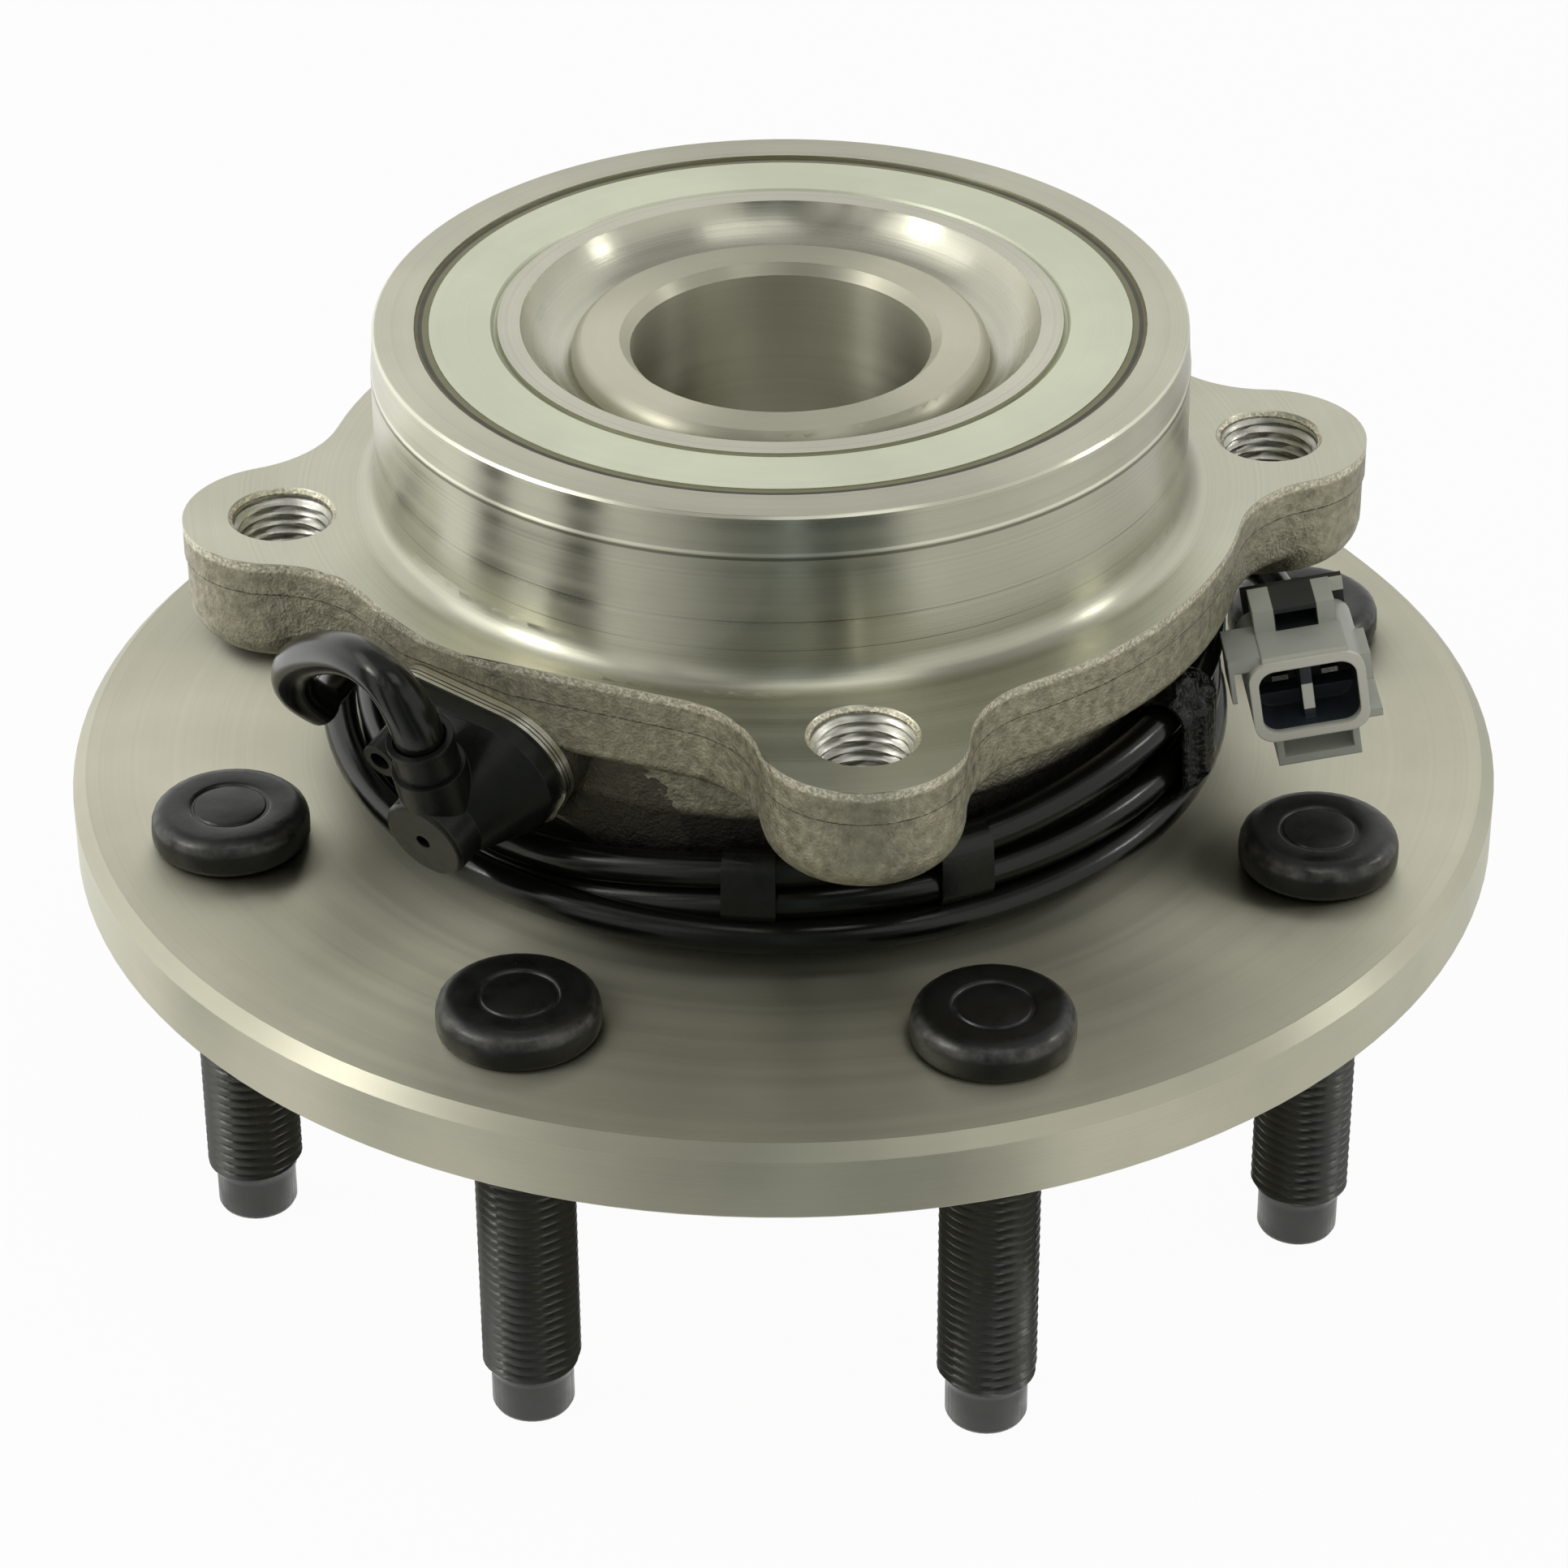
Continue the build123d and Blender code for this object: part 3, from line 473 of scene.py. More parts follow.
def around(tree_name, pattern, count, radius, first, material):
    """A node tree that stands copies of a pattern on a circle round Z, as one real mesh."""
    tree = bpy.data.node_groups.new(tree_name, "GeometryNodeTree")
    face = tree.interface
    face.new_socket("Count", in_out="INPUT", socket_type="NodeSocketInt")
    face.new_socket("Circle radius", in_out="INPUT", socket_type="NodeSocketFloat")
    face.new_socket("First angle", in_out="INPUT", socket_type="NodeSocketFloat")
    face.new_socket("Geometry", in_out="OUTPUT", socket_type="NodeSocketGeometry")
    nodes, links = tree.nodes, tree.links
    given = nodes.new("NodeGroupInput")
    result = nodes.new("NodeGroupOutput")
    points = nodes.new("GeometryNodePoints")
    links.new(given.outputs["Count"], points.inputs["Count"])
    index = nodes.new("GeometryNodeInputIndex")
    share = reckon(nodes, links, "DIVIDE", index.outputs[0], given.outputs["Count"])
    angle = reckon(nodes, links, "MULTIPLY_ADD", share, 2 * math.pi, given.outputs["First angle"])
    spot = nodes.new("ShaderNodeCombineXYZ")
    for axis, kind in (("X", "COSINE"), ("Y", "SINE")):
        part = reckon(nodes, links, kind, angle)
        part = reckon(nodes, links, "MULTIPLY", part, given.outputs["Circle radius"])
        links.new(part, spot.inputs[axis])
    links.new(spot.outputs[0], points.inputs["Position"])
    turn = nodes.new("ShaderNodeCombineXYZ")
    links.new(angle, turn.inputs["Z"])
    source = nodes.new("GeometryNodeObjectInfo")
    source.inputs["Object"].default_value = pattern
    place = nodes.new("GeometryNodeInstanceOnPoints")
    links.new(points.outputs[0], place.inputs["Points"])
    links.new(source.outputs["Geometry"], place.inputs["Instance"])
    links.new(turn.outputs[0], place.inputs["Rotation"])
    real = nodes.new("GeometryNodeRealizeInstances")
    links.new(place.outputs[0], real.inputs[0])
    paint = nodes.new("GeometryNodeSetMaterial")
    paint.inputs["Material"].default_value = material
    links.new(real.outputs[0], paint.inputs["Geometry"])
    links.new(paint.outputs[0], result.inputs[0])
    holder = placed(tree_name, bpy.data.meshes.new(tree_name))
    grow = holder.modifiers.new("build", "NODES")
    grow.node_group = tree
    for item, value in (("Count", count), ("Circle radius", radius), ("First angle", first)):
        grow[face.items_tree[item].identifier] = value
    bpy.context.view_layer.update()
    graph = bpy.context.evaluated_depsgraph_get()
    plain = bpy.data.meshes.new_from_object(holder.evaluated_get(graph))
    holder.modifiers.clear()
    holder.data = plain
    return holder


phosphate = bpy.data.materials.new("black phosphate")
nodes, links = opened(phosphate)
shader = nodes["Principled BSDF"]
shader.inputs["Metallic"].default_value = 0.45
place = nodes.new("ShaderNodeTexCoord").outputs["Object"]
grain = noise_at(nodes, links, place, 900, 3, 0, 1)
cloud = noise_at(nodes, links, place, 90, 4, 0, 1)
dusty = mix_colours(nodes, links, cloud, (0.010, 0.0102, 0.0085), (0.024, 0.024, 0.020))
coat = mix_colours(nodes, links, grain, dusty, (0.017, 0.017, 0.0145))
upright = nodes.new("ShaderNodeSeparateXYZ")
links.new(place, upright.inputs[0])
shoulder = band_mask(nodes, links, upright.outputs["Z"], 14.9 * MM, 15.9 * MM, 0.5 * MM)
flecks = noise_at(nodes, links, place, 520, 6, 0.1, 0.75, 0.36, 0.66)
rubbed = reckon(nodes, links, "MULTIPLY", shoulder, flecks)
worn = mix_colours(nodes, links, rubbed, coat, WORN_STEEL)
rolled = band_mask(nodes, links, upright.outputs["Z"], FAR_BELOW, -0.5 * MM, 0.1 * MM)
links.new(mix_colours(nodes, links, rolled, worn, ROLLED_STEEL), shader.inputs["Base Color"])
links.new(noise_at(nodes, links, place, 240, 4, 0.22, 0.44), shader.inputs["Roughness"])
links.new(bumpy(nodes, links, grain, 0.3, 0.03), shader.inputs["Normal"])

studs = around("studs", stud_pattern, 8, STUD_CIRCLE, math.radians(STUD_FIRST - 90), phosphate)
bpy.data.objects.remove(stud_pattern)
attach(studs, "hub")
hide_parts("wheel_studs")


# Carrier: a steel forging with a shot-blasted skin. Its pilot, lead-in and lug faces are turned
# bright with a rough edge to the skin, the sensor's seat is milled, and the lug holes are tapped M14.
SEAT_AT = (-38.4, -44.6, 35.2)
SEAT_TURN = -36.0
SEAT_DIP = 17.0
PILOT_BRIGHT = (0.52, 0.515, 0.405)
SKIN_LIGHT = (0.45, 0.425, 0.305)
SKIN_DARK = (0.17, 0.157, 0.11)
SKIN_PATCH = (0.295, 0.272, 0.195)
PAINTED_NECK_SHADE = (0.03, 0.028, 0.022)
PARTING_SHADE = (0.075, 0.066, 0.045)
EDGE_GLINT = (0.78, 0.74, 0.58)
PAINTED_EDGE_HIGHLIGHT = (0.66, 0.65, 0.52)
PAINTED_STEP_SHADE = (0.2, 0.195, 0.15)
SCORE_SHADE = (0.10, 0.095, 0.07)
PAINTED_SEAT_SHADE = (0.12, 0.112, 0.085)
PAINTED_SENSOR_SHADOW = (0.055, 0.05, 0.036)
FACE_Z = 53.5
carrier_steel = turned_steel(
    "carrier steel", PILOT_BRIGHT, (0.45, 0.44, 0.35), rough=0.27, grip=0.85, mark=0.1
)
nodes, links = opened(carrier_steel)
machined = nodes["Principled BSDF"]
place, _, height, radius = ring_vector(nodes, links)
skin = nodes.new("ShaderNodeBsdfPrincipled")
skin.inputs["Metallic"].default_value = 0.85
lumps = noise_at(nodes, links, place, 620, 6, 0, 1, 0.25, 0.75)
grit = noise_at(nodes, links, place, 2200, 4, 0, 1, 0.3, 0.7)
patches = noise_at(nodes, links, place, 60, 4, 0, 1)
shade = mix_colours(nodes, links, lumps, SKIN_DARK, SKIN_LIGHT)
warm = mix_colours(nodes, links, patches, shade, SKIN_PATCH)
skin_tone = mix_colours(nodes, links, grit, shade, warm)
links.new(noise_at(nodes, links, place, 700, 3, 0.38, 0.6), skin.inputs["Roughness"])
relief = bumpy(nodes, links, lumps, 0.75, 0.16)
links.new(bumpy(nodes, links, grit, 0.85, 0.09, relief), skin.inputs["Normal"])


def height_off(nodes, links, place, origin, normal):
    """The distance of a place from a plane."""
    away = nodes.new("ShaderNodeVectorMath")
    away.operation = "SUBTRACT"
    away.inputs[1].default_value = origin
    links.new(place, away.inputs[0])
    dot = nodes.new("ShaderNodeVectorMath")
    dot.operation = "DOT_PRODUCT"
    dot.inputs[1].default_value = normal
    links.new(away.outputs[0], dot.inputs[0])
    return dot.outputs["Value"]


seat_turn, seat_dip = math.radians(SEAT_TURN), math.radians(SEAT_DIP)
seat_origin = Vector(SEAT_AT) * MM
seat_normal = Vector(
    (math.cos(seat_dip) * math.sin(seat_turn), -math.cos(seat_dip) * math.cos(seat_turn), -math.sin(seat_dip))
)
seat_side = Vector((math.cos(seat_turn), math.sin(seat_turn), 0))
seat_up = seat_normal.cross(seat_side)
ragged = noise_at(nodes, links, place, 1300, 4, -0.09 * MM, 0.12 * MM)
uneven = reckon(nodes, links, "ADD", height, ragged)
# Painted highlight: a grainy band just under the lug faces' height, where the skin's cut edge shows bare
# metal, is painted brighter than the turned steel.
glint_band = band_mask(nodes, links, uneven, (FACE_Z - 1.1) * MM, FACE_Z * MM, 0.5 * MM)
sparkle = noise_at(nodes, links, place, 2100, 3, 0.3, 1, 0.42, 0.64)
glint = reckon(nodes, links, "MULTIPLY", glint_band, sparkle)
# Painted shade: the neck below 31.5 mm and inside 57.2 mm is painted near black for the deep shade under the
# web.
shaded = band_mask(nodes, links, height, FAR_BELOW, 31.5 * MM, 1.5 * MM)
inside = band_mask(nodes, links, radius, FAR_BELOW, 57.2 * MM, 0.6 * MM)
neck = reckon(nodes, links, "MULTIPLY", shaded, inside)
forged = mix_colours(nodes, links, neck, skin_tone, PAINTED_NECK_SHADE)
parting = band_mask(nodes, links, uneven, 48.4 * MM, 48.6 * MM, 0.1 * MM)
forged = mix_colours(nodes, links, parting, forged, PARTING_SHADE)
forged = mix_colours(nodes, links, glint, forged, EDGE_GLINT)
cut = stretch(nodes, links, uneven, (FACE_Z - 0.2) * MM, (FACE_Z - 0.12) * MM)
off_seat = height_off(nodes, links, place, seat_origin, seat_normal)
seat = band_mask(nodes, links, off_seat, -0.12 * MM, 0.12 * MM, 0.05 * MM)
# Painted shadow: a round patch right of and below the sensor's seat, with a wavy edge, darkens the skin as
# the sensor's shadow and the milled seat as shade; inside it the seat's plane also gets the machined finish.
apart = nodes.new("ShaderNodeVectorMath")
apart.operation = "DISTANCE"
apart.inputs[1].default_value = seat_origin + seat_side * 10 * MM - seat_up * 10 * MM
links.new(place, apart.inputs[0])
patch_edge_noise = noise_at(nodes, links, place, 800, 2, -0.9 * MM, 0.9 * MM)
wavy = reckon(nodes, links, "ADD", apart.outputs["Value"], patch_edge_noise)
shadow_and_seat_patch = band_mask(nodes, links, wavy, FAR_BELOW, 16.5 * MM, 0.3 * MM)
milled = reckon(nodes, links, "MULTIPLY", seat, shadow_and_seat_patch)
sensor_shadow = reckon(nodes, links, "MULTIPLY", shadow_and_seat_patch, 0.8)
smooth = reckon(nodes, links, "MAXIMUM", cut, milled)
scored = band_mask(nodes, links, height, 63.0 * MM, 63.12 * MM, 0.05 * MM)
scored_low = band_mask(nodes, links, height, 58.7 * MM, 58.8 * MM, 0.04 * MM)
score = reckon(nodes, links, "MAXIMUM", scored, scored_low)
faint = reckon(nodes, links, "MULTIPLY", score, noise_at(nodes, links, place, 45, 3, 0, 0.8))
turned_tone = machined.inputs["Base Color"].links[0].from_socket
turned_tone = mix_colours(nodes, links, faint, turned_tone, SCORE_SHADE)
# Painted light on the turned top: a dark line as shade at the step, and two light lines as highlights along
# the edges.
for low, high, line_tone in ((72.35, 72.75, PAINTED_STEP_SHADE), (73.0, 73.3, PAINTED_EDGE_HIGHLIGHT), (78.32, 78.6, PAINTED_EDGE_HIGHLIGHT)):
    line = band_mask(nodes, links, height, low * MM, high * MM, 0.08 * MM)
    turned_tone = mix_colours(nodes, links, line, turned_tone, line_tone)
# Painted shade on the milled seat inside the patch.
turned_tone = mix_colours(nodes, links, milled, turned_tone, PAINTED_SEAT_SHADE)
links.new(turned_tone, machined.inputs["Base Color"])
# Painted shadow of the sensor on the skin beside its seat.
forged = mix_colours(nodes, links, sensor_shadow, forged, PAINTED_SENSOR_SHADOW)
links.new(forged, skin.inputs["Base Color"])
both = nodes.new("ShaderNodeMixShader")
links.new(smooth, both.inputs["Fac"])
links.new(skin.outputs[0], both.inputs[1])
links.new(machined.outputs[0], both.inputs[2])
links.new(both.outputs[0], nodes["Material Output"].inputs["Surface"])
finish("outer_ring", carrier_steel)

LUG_CIRCLE = 70.4 * MM
LUG_FIRST = 8.5
HOLE_R = 7.0
TAPPED_TOP = FACE_Z - 0.9
TAPPED_L = 15.9
TAPPED_ROWS = 68
tap_shell = bmesh.new()
loops = []
for i in range(TAPPED_ROWS + 1):
    z = TAPPED_TOP - i * TAPPED_L / TAPPED_ROWS
    loops.append(ring_of(tap_shell, thread_radius(z, HOLE_R - 0.01, 0.8, min(1, i / 5)), z))
wall_top, wall_foot = (ring_of(tap_shell, HOLE_R, z) for z in (TAPPED_TOP, TAPPED_TOP - TAPPED_L))
walls(tap_shell, [*loops, wall_foot, wall_top, loops[0]])
tap_pattern = placed("one tapped hole", finished_mesh("one tapped hole", tap_shell))
tapped_steel = turned_steel(
    "tapped steel", (0.58, 0.57, 0.50), (0.40, 0.39, 0.34), rough=0.3, grip=0.2, mark=0.1
)
taps = around("tapped_holes", tap_pattern, 4, LUG_CIRCLE, math.radians(LUG_FIRST - 90), tapped_steel)
bpy.data.objects.remove(tap_pattern)
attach(taps, "carrier")


# Bearing: ground steel cones and rollers, moulded cages, and the seals. The pale ring on top is
# the inboard flinger, pressed on the cone, with the seal's brown-black rubber round it.
cone_steel = turned_steel(
    "ground cone steel", (0.52, 0.51, 0.41), (0.44, 0.43, 0.345), rough=0.22, grip=0.8, mark=0.1
)
for node in ("inboard_cone", "outboard_cone", "cone_spacer", "inboard_rollers", "outboard_rollers"):
    finish(node, cone_steel)
flinger_steel = turned_steel(
    "passivated flinger", (0.74, 0.775, 0.59), (0.70, 0.73, 0.56), rough=0.45, grip=0.3, mark=0.06
)
flinger_steel.node_tree.nodes["Principled BSDF"].inputs["Metallic"].default_value = 0.55
for node in ("inboard_seal_flinger", "outboard_seal_flinger"):
    finish(node, flinger_steel)
case_steel = turned_steel(
    "seal case steel", (0.55, 0.54, 0.48), (0.42, 0.41, 0.36), rough=0.3, grip=0.4, mark=0.1
)
for node in ("inboard_seal_case", "outboard_seal_case", "tone_ring"):
    finish(node, case_steel)


def moulded(name, base, lift, rough, swing=0.1, scale=500, depth=0.02, gloss=0.5, edge=0.0):
    """Plastic or rubber as it leaves the mould: a fine spark texture, uneven shine and tone."""
    plastic = bpy.data.materials.new(name)
    nodes, links = opened(plastic)
    shader = nodes["Principled BSDF"]
    shader.inputs["Specular IOR Level"].default_value = gloss
    shader.inputs["Specular Tint"].default_value = (0.96, 1.0, 0.88, 1)
    place = nodes.new("ShaderNodeTexCoord").outputs["Object"]
    grain = noise_at(nodes, links, place, scale * 4, 3, 0, 1)
    cloud = noise_at(nodes, links, place, scale / 4, 4, 0, 1)
    links.new(mix_colours(nodes, links, cloud, base, lift), shader.inputs["Base Color"])
    uneven = noise_at(nodes, links, place, scale, 3, rough - swing / 2, rough + swing / 2)
    links.new(uneven, shader.inputs["Roughness"])
    rounded = None
    if edge:
        soft_edge = nodes.new("ShaderNodeBevel")
        soft_edge.samples = 4
        soft_edge.inputs["Radius"].default_value = edge * MM
        rounded = soft_edge.outputs[0]
    links.new(bumpy(nodes, links, grain, 0.4, depth, rounded), shader.inputs["Normal"])
    return plastic


def colour_of(nodes):
    """A material's colour socket, and the tone that is now on it."""
    socket = nodes["Principled BSDF"].inputs["Base Color"]
    return socket, socket.links[0].from_socket


seal_rubber = moulded("seal rubber", (0.02, 0.018, 0.006), (0.04, 0.034, 0.012), rough=0.45)
nodes, links = opened(seal_rubber)
colour, tone = colour_of(nodes)
radius = ring_vector(nodes, links)[3]
for low, high, lip_tone in ((48.5, 49.55, (0.20, 0.19, 0.085)), (50.3, 50.8, (0.13, 0.11, 0.03))):
    lip = band_mask(nodes, links, radius, low * MM, high * MM, 0.12 * MM)
    tone = mix_colours(nodes, links, lip, tone, lip_tone)
links.new(tone, colour)
for node in ("inboard_seal_rubber", "outboard_seal_rubber", "sensor_o_ring"):
    finish(node, seal_rubber)
cage_plastic = moulded("cage plastic", (0.03, 0.027, 0.022), (0.05, 0.045, 0.036), rough=0.45)
for node in ("inboard_cage", "outboard_cage"):
    finish(node, cage_plastic)


# Sensor: a glass-filled black moulding on a plated steel plate over a thin shim, clamped against
# the flat of the carrier's web. Its tower carries the lead out upwards.
SENSOR_BLACK = (0.004, 0.004, 0.0035)
SENSOR_GREY = (0.008, 0.008, 0.007)
GROOVE_SHADE = (0.05, 0.045, 0.035)
sensor_black = moulded(
    "sensor moulding", SENSOR_BLACK, SENSOR_GREY, rough=0.34, swing=0.12, scale=600, gloss=0.3, edge=0.3
)
for node in ("sensor_body", "sensor_probe", "lead_collar"):
    finish(node, sensor_black)
plate_metal = turned_steel(
    "plated sensor plate", (0.72, 0.71, 0.62), (0.62, 0.60, 0.50), rough=0.25, grip=0.0, mark=0.1
)
shim_metal = turned_steel(
    "sensor shim", (0.70, 0.68, 0.56), (0.62, 0.59, 0.46), rough=0.3, grip=0.0, mark=0.1
)
for metal, lines in ((plate_metal, (1.0, 1.55)), (shim_metal, (0.0, 1.0))):
    nodes, links = opened(metal)
    colour, tone = colour_of(nodes)
    place = nodes.new("ShaderNodeTexCoord").outputs["Object"]
    above = height_off(nodes, links, place, seat_origin, seat_normal)
    for line in lines:
        groove = band_mask(nodes, links, above, (line - 0.06) * MM, (line + 0.06) * MM, 0.05 * MM)
        tone = mix_colours(nodes, links, groove, tone, GROOVE_SHADE)
    links.new(tone, colour)
finish("sensor_plate", plate_metal)
finish("sensor_shim", shim_metal)


# Lead: one glossy black 5 mm cable. It hooks out of the tower in a thicker sleeve, runs a little
# over three times round the carrier's neck, and turns out to the connector on the right.
def at(radius, azimuth, height):
    """A place from its radius, its azimuth (from the front towards the right) and its height, in mm."""
    a = math.radians(azimuth)
    return Vector((radius * math.sin(a), -radius * math.cos(a), height)) * MM


def on_sensor(x, y, z):
    """A place in the sensor's own frame, in mm: x across the plate, y up it, z out of it."""
    return seat_origin + (seat_side * x + seat_up * y + seat_normal * z) * MM


hook = [
    on_sensor(0, 14.6, 12.6),
    on_sensor(0, 21.2, 12.6),
    Vector((-53.5, -55.9, 56.0)) * MM,
    Vector((-59.1, -48.2, 54.2)) * MM,
    Vector((-66.7, -34.2, 44.4)) * MM,
    Vector((-68.0, -28.2, 35.5)) * MM,
    Vector((-64.4, -23.4, 30.2)) * MM,
    Vector((-60.7, -8.0, 29.4)) * MM,
]
# Round the neck: turned angle past the left side, radius and height of the lead's middle
lay = [
    (0, 60.7, 29.6),
    (40, 60.8, 31.2),
    (170, 61.4, 32.2),
    (195, 61.4, 31.6),
    (220, 60.4, 29.8),
    (245, 59.5, 26.6),
    (270, 58.9, 25.6),
    (290, 59.1, 24.4),
    (306, 59.2, 21.7),
    (345, 59.4, 21.8),
    (450, 60.0, 23.4),
    (540, 61.0, 23.4),
    (566, 61.4, 22.8),
    (585, 60.6, 21.9),
    (605, 59.9, 21.2),
    (630, 59.6, 20.9),
    (650, 59.3, 19.4),
    (666, 59.0, 16.8),
    (705, 59.2, 16.8),
    (810, 60.2, 17.6),
    (926, 62.4, 17.9),
    (945, 62.4, 17.0),
    (990, 62.3, 16.6),
    (1010, 62.9, 17.2),
    (1026, 63.7, 18.3),
    (1065, 64.2, 18.2),
    (1110, 65.6, 21.5),
    (1160, 66.3, 25.6),
    (1207, 66.6, 26.8),
]


def lay_at(turned):
    """The radius and height of the lead's middle at a turned angle."""
    for (a0, r0, z0), (a1, r1, z1) in zip(lay, lay[1:]):
        if turned <= a1:
            share = (turned - a0) / (a1 - a0)
            share = share * share * (3 - 2 * share)
            return r0 + (r1 - r0) * share, z0 + (z1 - z0) * share
    return lay[-1][1:]


STEP = 20
corner_reach = 1 / math.cos(math.radians(STEP / 2))
round_neck = []
for turned in range(4, lay[-1][0], STEP):
    radius, height = lay_at(turned)
    round_neck.append(at(radius * (1 + (corner_reach - 1) * 0.5), -90 - turned, height))
plug_face = Vector((73.6, -23.8, 30.6)) * MM
plug_turn = math.radians(3)
plug_roll = math.radians(9)
plug_level = Vector((math.cos(plug_turn), math.sin(plug_turn), 0))
plug_out = Vector((math.sin(plug_turn), -math.cos(plug_turn), 0))
plug_rise = plug_out.cross(plug_level)
plug_side = plug_level * math.cos(plug_roll) + plug_rise * math.sin(plug_roll)
plug_up = plug_out.cross(plug_side)


def on_connector(x, y, z):
    """A place in the connector's own frame, in mm: x across, y up, z out of its mouth."""
    return plug_face + (plug_side * x + plug_up * y + plug_out * z) * MM


tail = [
    at(67.2, 130, 27.1),
    at(67.8, 113, 28.4),
    at(71.0, 101, 30.0),
    on_connector(0, 0, -28),
    on_connector(0, 0, -23),
]
JACKET_BLACK = (0.004, 0.004, 0.0035)
JACKET_GREY = (0.007, 0.007, 0.006)
jacket = moulded(
    "lead jacket", JACKET_BLACK, JACKET_GREY, rough=0.2, swing=0.06, scale=300, depth=0.012, gloss=0.34
)


def drawn_along(name, route, thick, smooth, sides):
    """A round cable along a route, thick mm in radius."""
    line = bpy.data.curves.new(name, "CURVE")
    line.dimensions = "3D"
    run = line.splines.new("NURBS")
    run.points.add(len(route) - 1)
    for point, place in zip(run.points, route):
        point.co = (*place, 1)
    run.order_u = 3
    run.use_endpoint_u = True
    run.resolution_u = smooth
    line.bevel_depth = thick * MM
    line.bevel_resolution = sides
    line.use_fill_caps = True
    return line


lead_line = drawn_along("lead", hook + round_neck + tail, thick=2.5, smooth=6, sides=6)
lead_line.materials.append(jacket)
lead = placed("lead", lead_line)
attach(lead, "carrier")
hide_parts("lead_coil", "lead_tail")

sleeve_line = drawn_along("lead_sleeve", hook[:7], thick=3.0, smooth=10, sides=8)
for point, swell in zip(sleeve_line.splines[0].points, (3.5 / 3.0, 3.35 / 3.0)):
    point.radius = swell
sleeve = placed("sleeve line", sleeve_line)
bpy.context.view_layer.update()
graph = bpy.context.evaluated_depsgraph_get()
sleeve_mesh = bpy.data.meshes.new_from_object(sleeve.evaluated_get(graph))
bpy.data.objects.remove(sleeve)
lead_sleeve = placed("lead_sleeve", sleeve_mesh)
sleeve_mesh.materials.clear()
sleeve_mesh.materials.append(jacket)
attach(lead_sleeve, "carrier")
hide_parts("lead_boot")


# Tapes: glossy black adhesive tape. Two bands hold the two lower strands in front, and a crumpled
# knot of the same tape holds them on the right.
TAPE_THICK = 0.45
TAPE_CREASE = math.radians(40)
CABLE_CIRCLE = 62


def noise_field(seed):
    """A smooth random height over a share along the tape and a share round it."""
    shift = sum(ord(letter) for letter in seed) * 1.7

    def height(along, round_it):
        a = 2 * math.pi * round_it
        spot = Vector((along * 3.0 + shift, math.cos(a) * 1.6, math.sin(a) * 1.6))
        return noise.noise(spot * 1.1) + 0.6 * noise.noise(spot * 2.7)

    return height


def tape_round(name, azimuth, width, cover, crumple=0.0, across=10, around_it=56):
    """Tape drawn tight round the two lower strands at an azimuth, cover mm off their middles."""
    middles = [lay_at(360 * turn - 90 - azimuth) for turn in (1, 2)]
    random = noise_field(name)
    shell = bmesh.new()
    rows = []
    half = math.degrees(width / 2 / CABLE_CIRCLE)
    for layer in (cover, cover - TAPE_THICK):
        for i in range(across + 1):
            share = i / across
            az = azimuth - half + 2 * half * share
            pinch = 1 - (2 * share - 1) ** 4
            tight = layer * (0.86 + 0.14 * pinch if crumple else 1)
            row = []
            for k in range(around_it):
                a = 2 * math.pi * k / around_it
                c, d = math.cos(a), math.sin(a)
                r, z = max(middles, key=lambda m: m[0] * c + m[1] * d)
                bulge = tight + crumple * pinch * random(share, k / around_it)
                row.append(shell.verts.new(at(r + c * bulge, az, z + d * bulge)))
            rows.append(row)
    outer, inner = rows[: across + 1], rows[across + 1 :]
    walls(shell, [*outer, *reversed(inner), outer[0]])
    return finished_mesh(name, shell, TAPE_CREASE)


def join_meshes(name, meshes, material):
    """One object from several meshes."""
    whole = bmesh.new()
    for mesh in meshes:
        whole.from_mesh(mesh)
    joined = bpy.data.meshes.new(name)
    whole.to_mesh(joined)
    whole.free()
    joined.set_sharp_from_angle(angle=TAPE_CREASE)
    joined.materials.append(material)
    return placed(name, joined)


TAPE_BLACK = (0.006, 0.006, 0.005)
TAPE_GREY = (0.011, 0.011, 0.010)
KNOT_BLACK = (0.003, 0.003, 0.0025)
KNOT_GREY = (0.007, 0.007, 0.006)
tape = moulded("black tape", TAPE_BLACK, TAPE_GREY, rough=0.26, swing=0.14, scale=400, gloss=0.35)
crumpled = moulded(
    "crumpled tape", KNOT_BLACK, KNOT_GREY, rough=0.26, swing=0.16, scale=260, depth=0.5, gloss=0.25
)
front_band = tape_round("front", azimuth=-4.5, width=7.4, cover=2.95)
second_band = tape_round("second", azimuth=23.5, width=7.6, cover=2.95)
bands = join_meshes("lead_bands", [front_band, second_band], tape)
wrapping = tape_round("knot", azimuth=64, width=11, cover=4.3, crumple=1.1, across=22, around_it=72)
knot = join_meshes("lead_knot", [wrapping], crumpled)
for piece, node in ((bands, "tape_bands"), (knot, "tape_wrap")):
    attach(piece, "carrier")
    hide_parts(node)


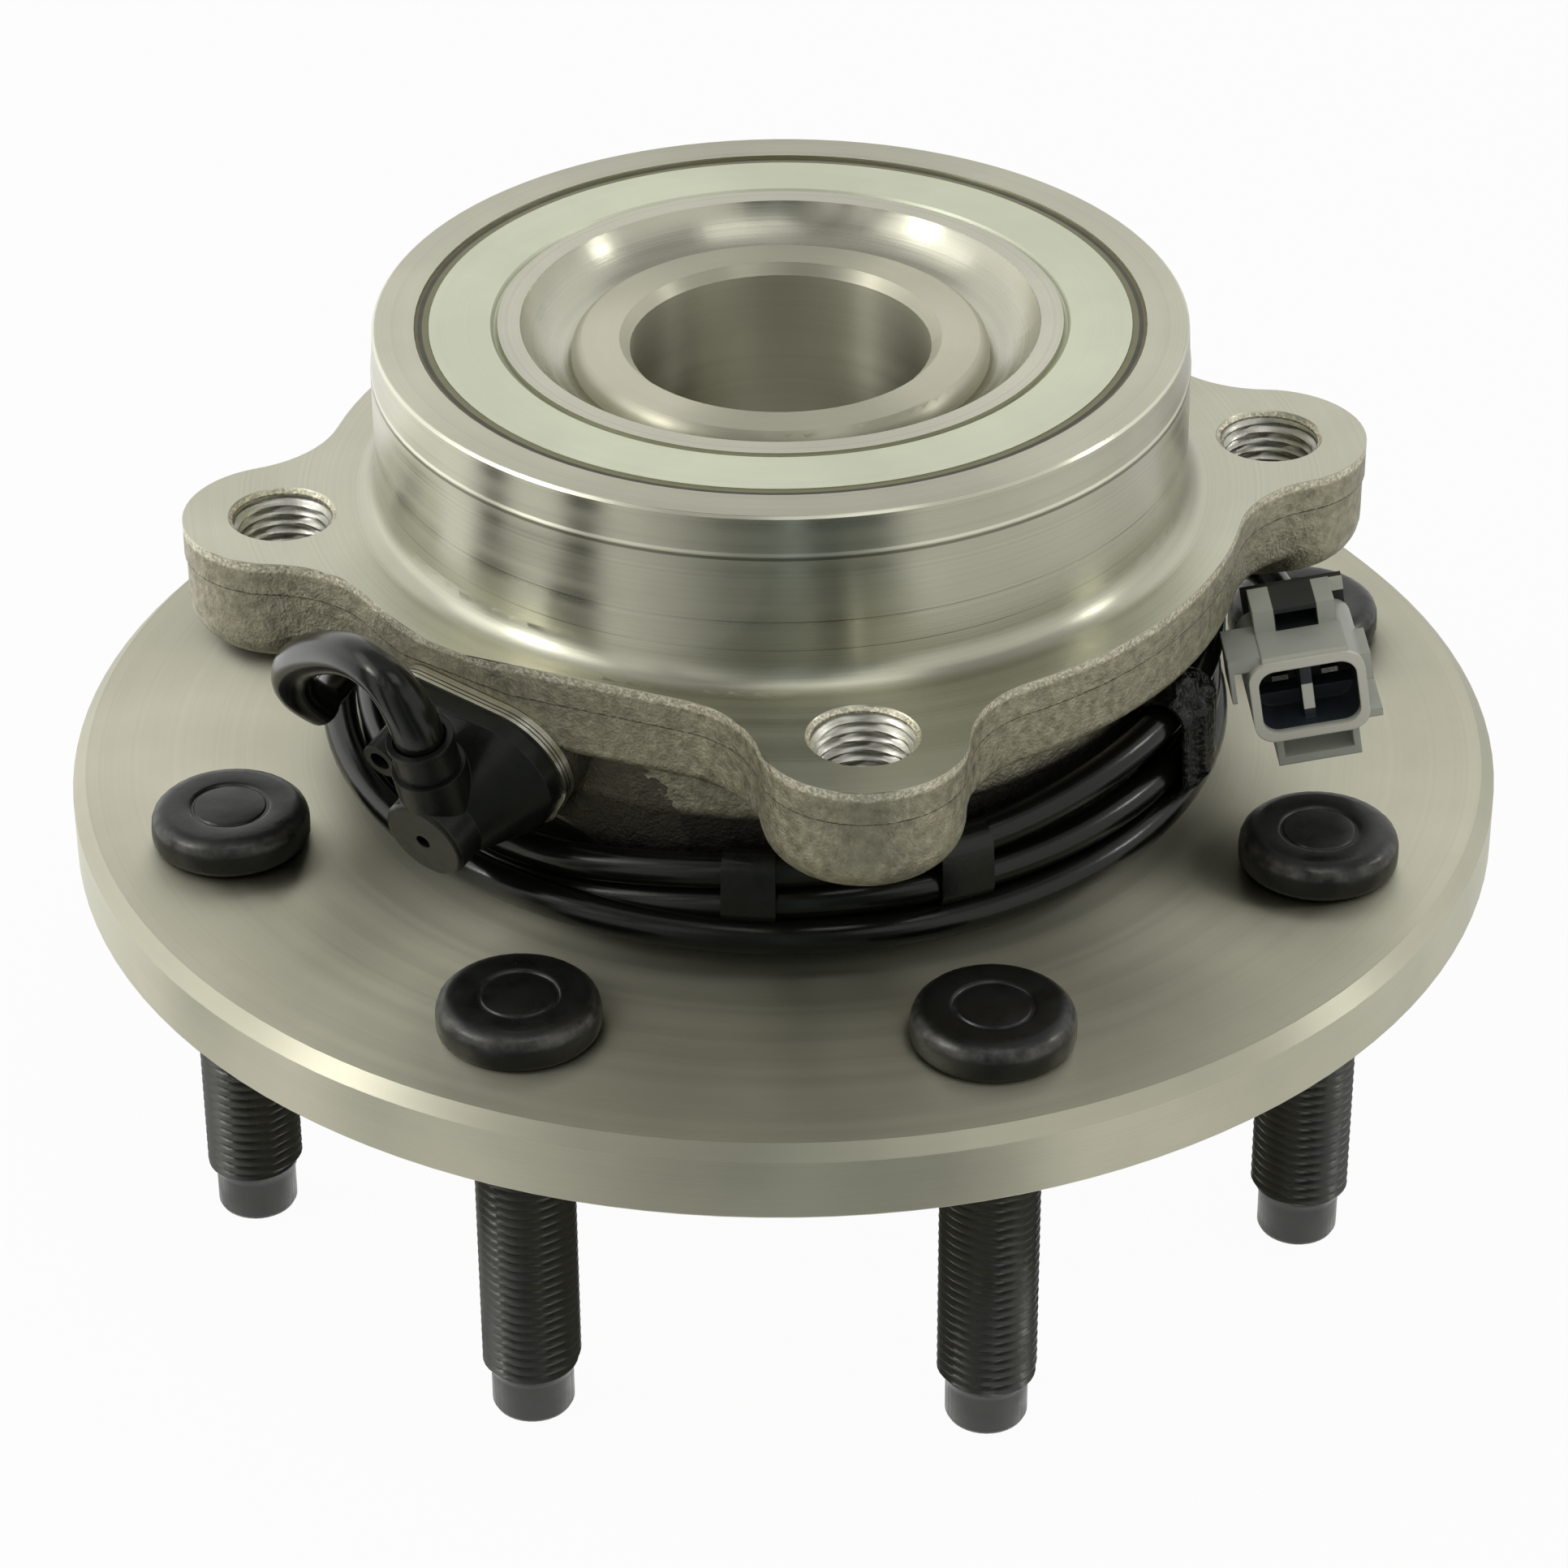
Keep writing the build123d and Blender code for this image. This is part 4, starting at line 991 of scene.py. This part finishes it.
# Connector: a grey-green moulding with a lock block, guide tabs and a key rib between its two
# flat tinned blades. Painted shade darkens it deep in its mouth and in the lock's window and darkens
# the blades; painted highlights lighten the rim of its mouth and the end of the rib. A black seal lines
# the mouth, a black cover closes it behind, and a dark clip with a pale tab holds it.
SHELL_DARK = (0.47, 0.49, 0.44)
SHELL_LIGHT = (0.56, 0.58, 0.52)
PAINTED_LIP_HIGHLIGHT = (0.80, 0.79, 0.70)
PAINTED_WINDOW_SHADE = (0.02, 0.024, 0.027)
PAINTED_CAVITY_SHADE = (0.035, 0.045, 0.055)
PAINTED_RIB_END_HIGHLIGHT = (0.85, 0.84, 0.76)
TAB_TONE = (0.62, 0.63, 0.55)
shell_plastic = moulded("connector moulding", SHELL_DARK, SHELL_LIGHT, rough=0.36, scale=400, edge=0.35)
cover_plastic = moulded("connector cover", (0.012, 0.012, 0.012), (0.022, 0.022, 0.02), rough=0.4)
# The tinned blades are painted dark grey as painted shade deep in the mouth.
shaded_blade_metal = turned_steel(
    "tinned blade", (0.20, 0.20, 0.18), (0.15, 0.15, 0.135), rough=0.25, grip=0.0, mark=0.1
)
nodes, links = opened(shell_plastic)
colour, tone = colour_of(nodes)
place = nodes.new("ShaderNodeTexCoord").outputs["Object"]


def in_block(nodes, links, place, spans):
    """1 inside a box in the connector's frame, given as limits across, up and out, in mm."""
    inside = None
    for normal, (low, high) in zip((plug_side, plug_up, plug_out), spans):
        off = height_off(nodes, links, place, plug_face, normal)
        share = band_mask(nodes, links, off, low * MM, high * MM, 0.1 * MM)
        inside = reckon(nodes, links, "MULTIPLY", inside, share) if inside else share
    return inside


# Painted shade deep in the mouth and in the lock's window.
cavity = in_block(nodes, links, place, ((-7.1, 7.1), (-5.35, 5.35), (-14, -1.2)))
window = in_block(nodes, links, place, ((-3.0, 3.0), (6.9, 12), (-14.5, -7.3)))
# Painted highlight on the rim of the mouth.
off_face = height_off(nodes, links, place, plug_face, plug_out)
lip = band_mask(nodes, links, off_face, -0.5 * MM, 1 * MM, 0.2 * MM)
tone = mix_colours(nodes, links, lip, tone, PAINTED_LIP_HIGHLIGHT)
tone = mix_colours(nodes, links, window, tone, PAINTED_WINDOW_SHADE)
tone = mix_colours(nodes, links, cavity, tone, PAINTED_CAVITY_SHADE)
# Painted highlight on the front end of the key rib.
rib_end = in_block(nodes, links, place, ((-1.0, 1.0), (-3.6, 0.4), (-3.2, -2.8)))
links.new(mix_colours(nodes, links, rib_end, tone, PAINTED_RIB_END_HIGHLIGHT), colour)
clip_plastic = moulded("connector clip", (0.012, 0.012, 0.011), (0.022, 0.022, 0.019), rough=0.4)
nodes, links = opened(clip_plastic)
colour, tone = colour_of(nodes)
place = nodes.new("ShaderNodeTexCoord").outputs["Object"]
tab = in_block(nodes, links, place, ((2, 9), (7.5, 12), (-14.95, -13)))
links.new(mix_colours(nodes, links, tab, tone, TAB_TONE), colour)
finish("connector_housing", shell_plastic)
finish("connector_rear", cover_plastic)
finish("connector_clip", clip_plastic)
finish("connector_terminals", shaded_blade_metal)

SEAL_AT = -10.35
SEAL_HALF = (6.6, 4.4)
RIB_HALF = 1.0
seal_shell = bmesh.new()
for way in (-1, 1):
    x0, x1 = sorted((way * RIB_HALF, way * SEAL_HALF[0]))
    corners = [(x0, -2.4), (x1, -2.4), (x1, SEAL_HALF[1]), (x0, SEAL_HALF[1])]
    front = [seal_shell.verts.new(on_connector(x, y, SEAL_AT + 0.5)) for x, y in corners]
    back = [seal_shell.verts.new(on_connector(x, y, SEAL_AT)) for x, y in corners]
    seal_shell.faces.new(front)
    seal_shell.faces.new(list(reversed(back)))
    for i in range(4):
        j = (i + 1) % 4
        seal_shell.faces.new((front[j], front[i], back[i], back[j]))
bmesh.ops.recalc_face_normals(seal_shell, faces=seal_shell.faces)
seal_mesh = bpy.data.meshes.new("connector_seal")
seal_shell.to_mesh(seal_mesh)
seal_shell.free()
seal_mesh.materials.append(cover_plastic)
connector_seal = placed("connector_seal", seal_mesh)
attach(connector_seal, "carrier")
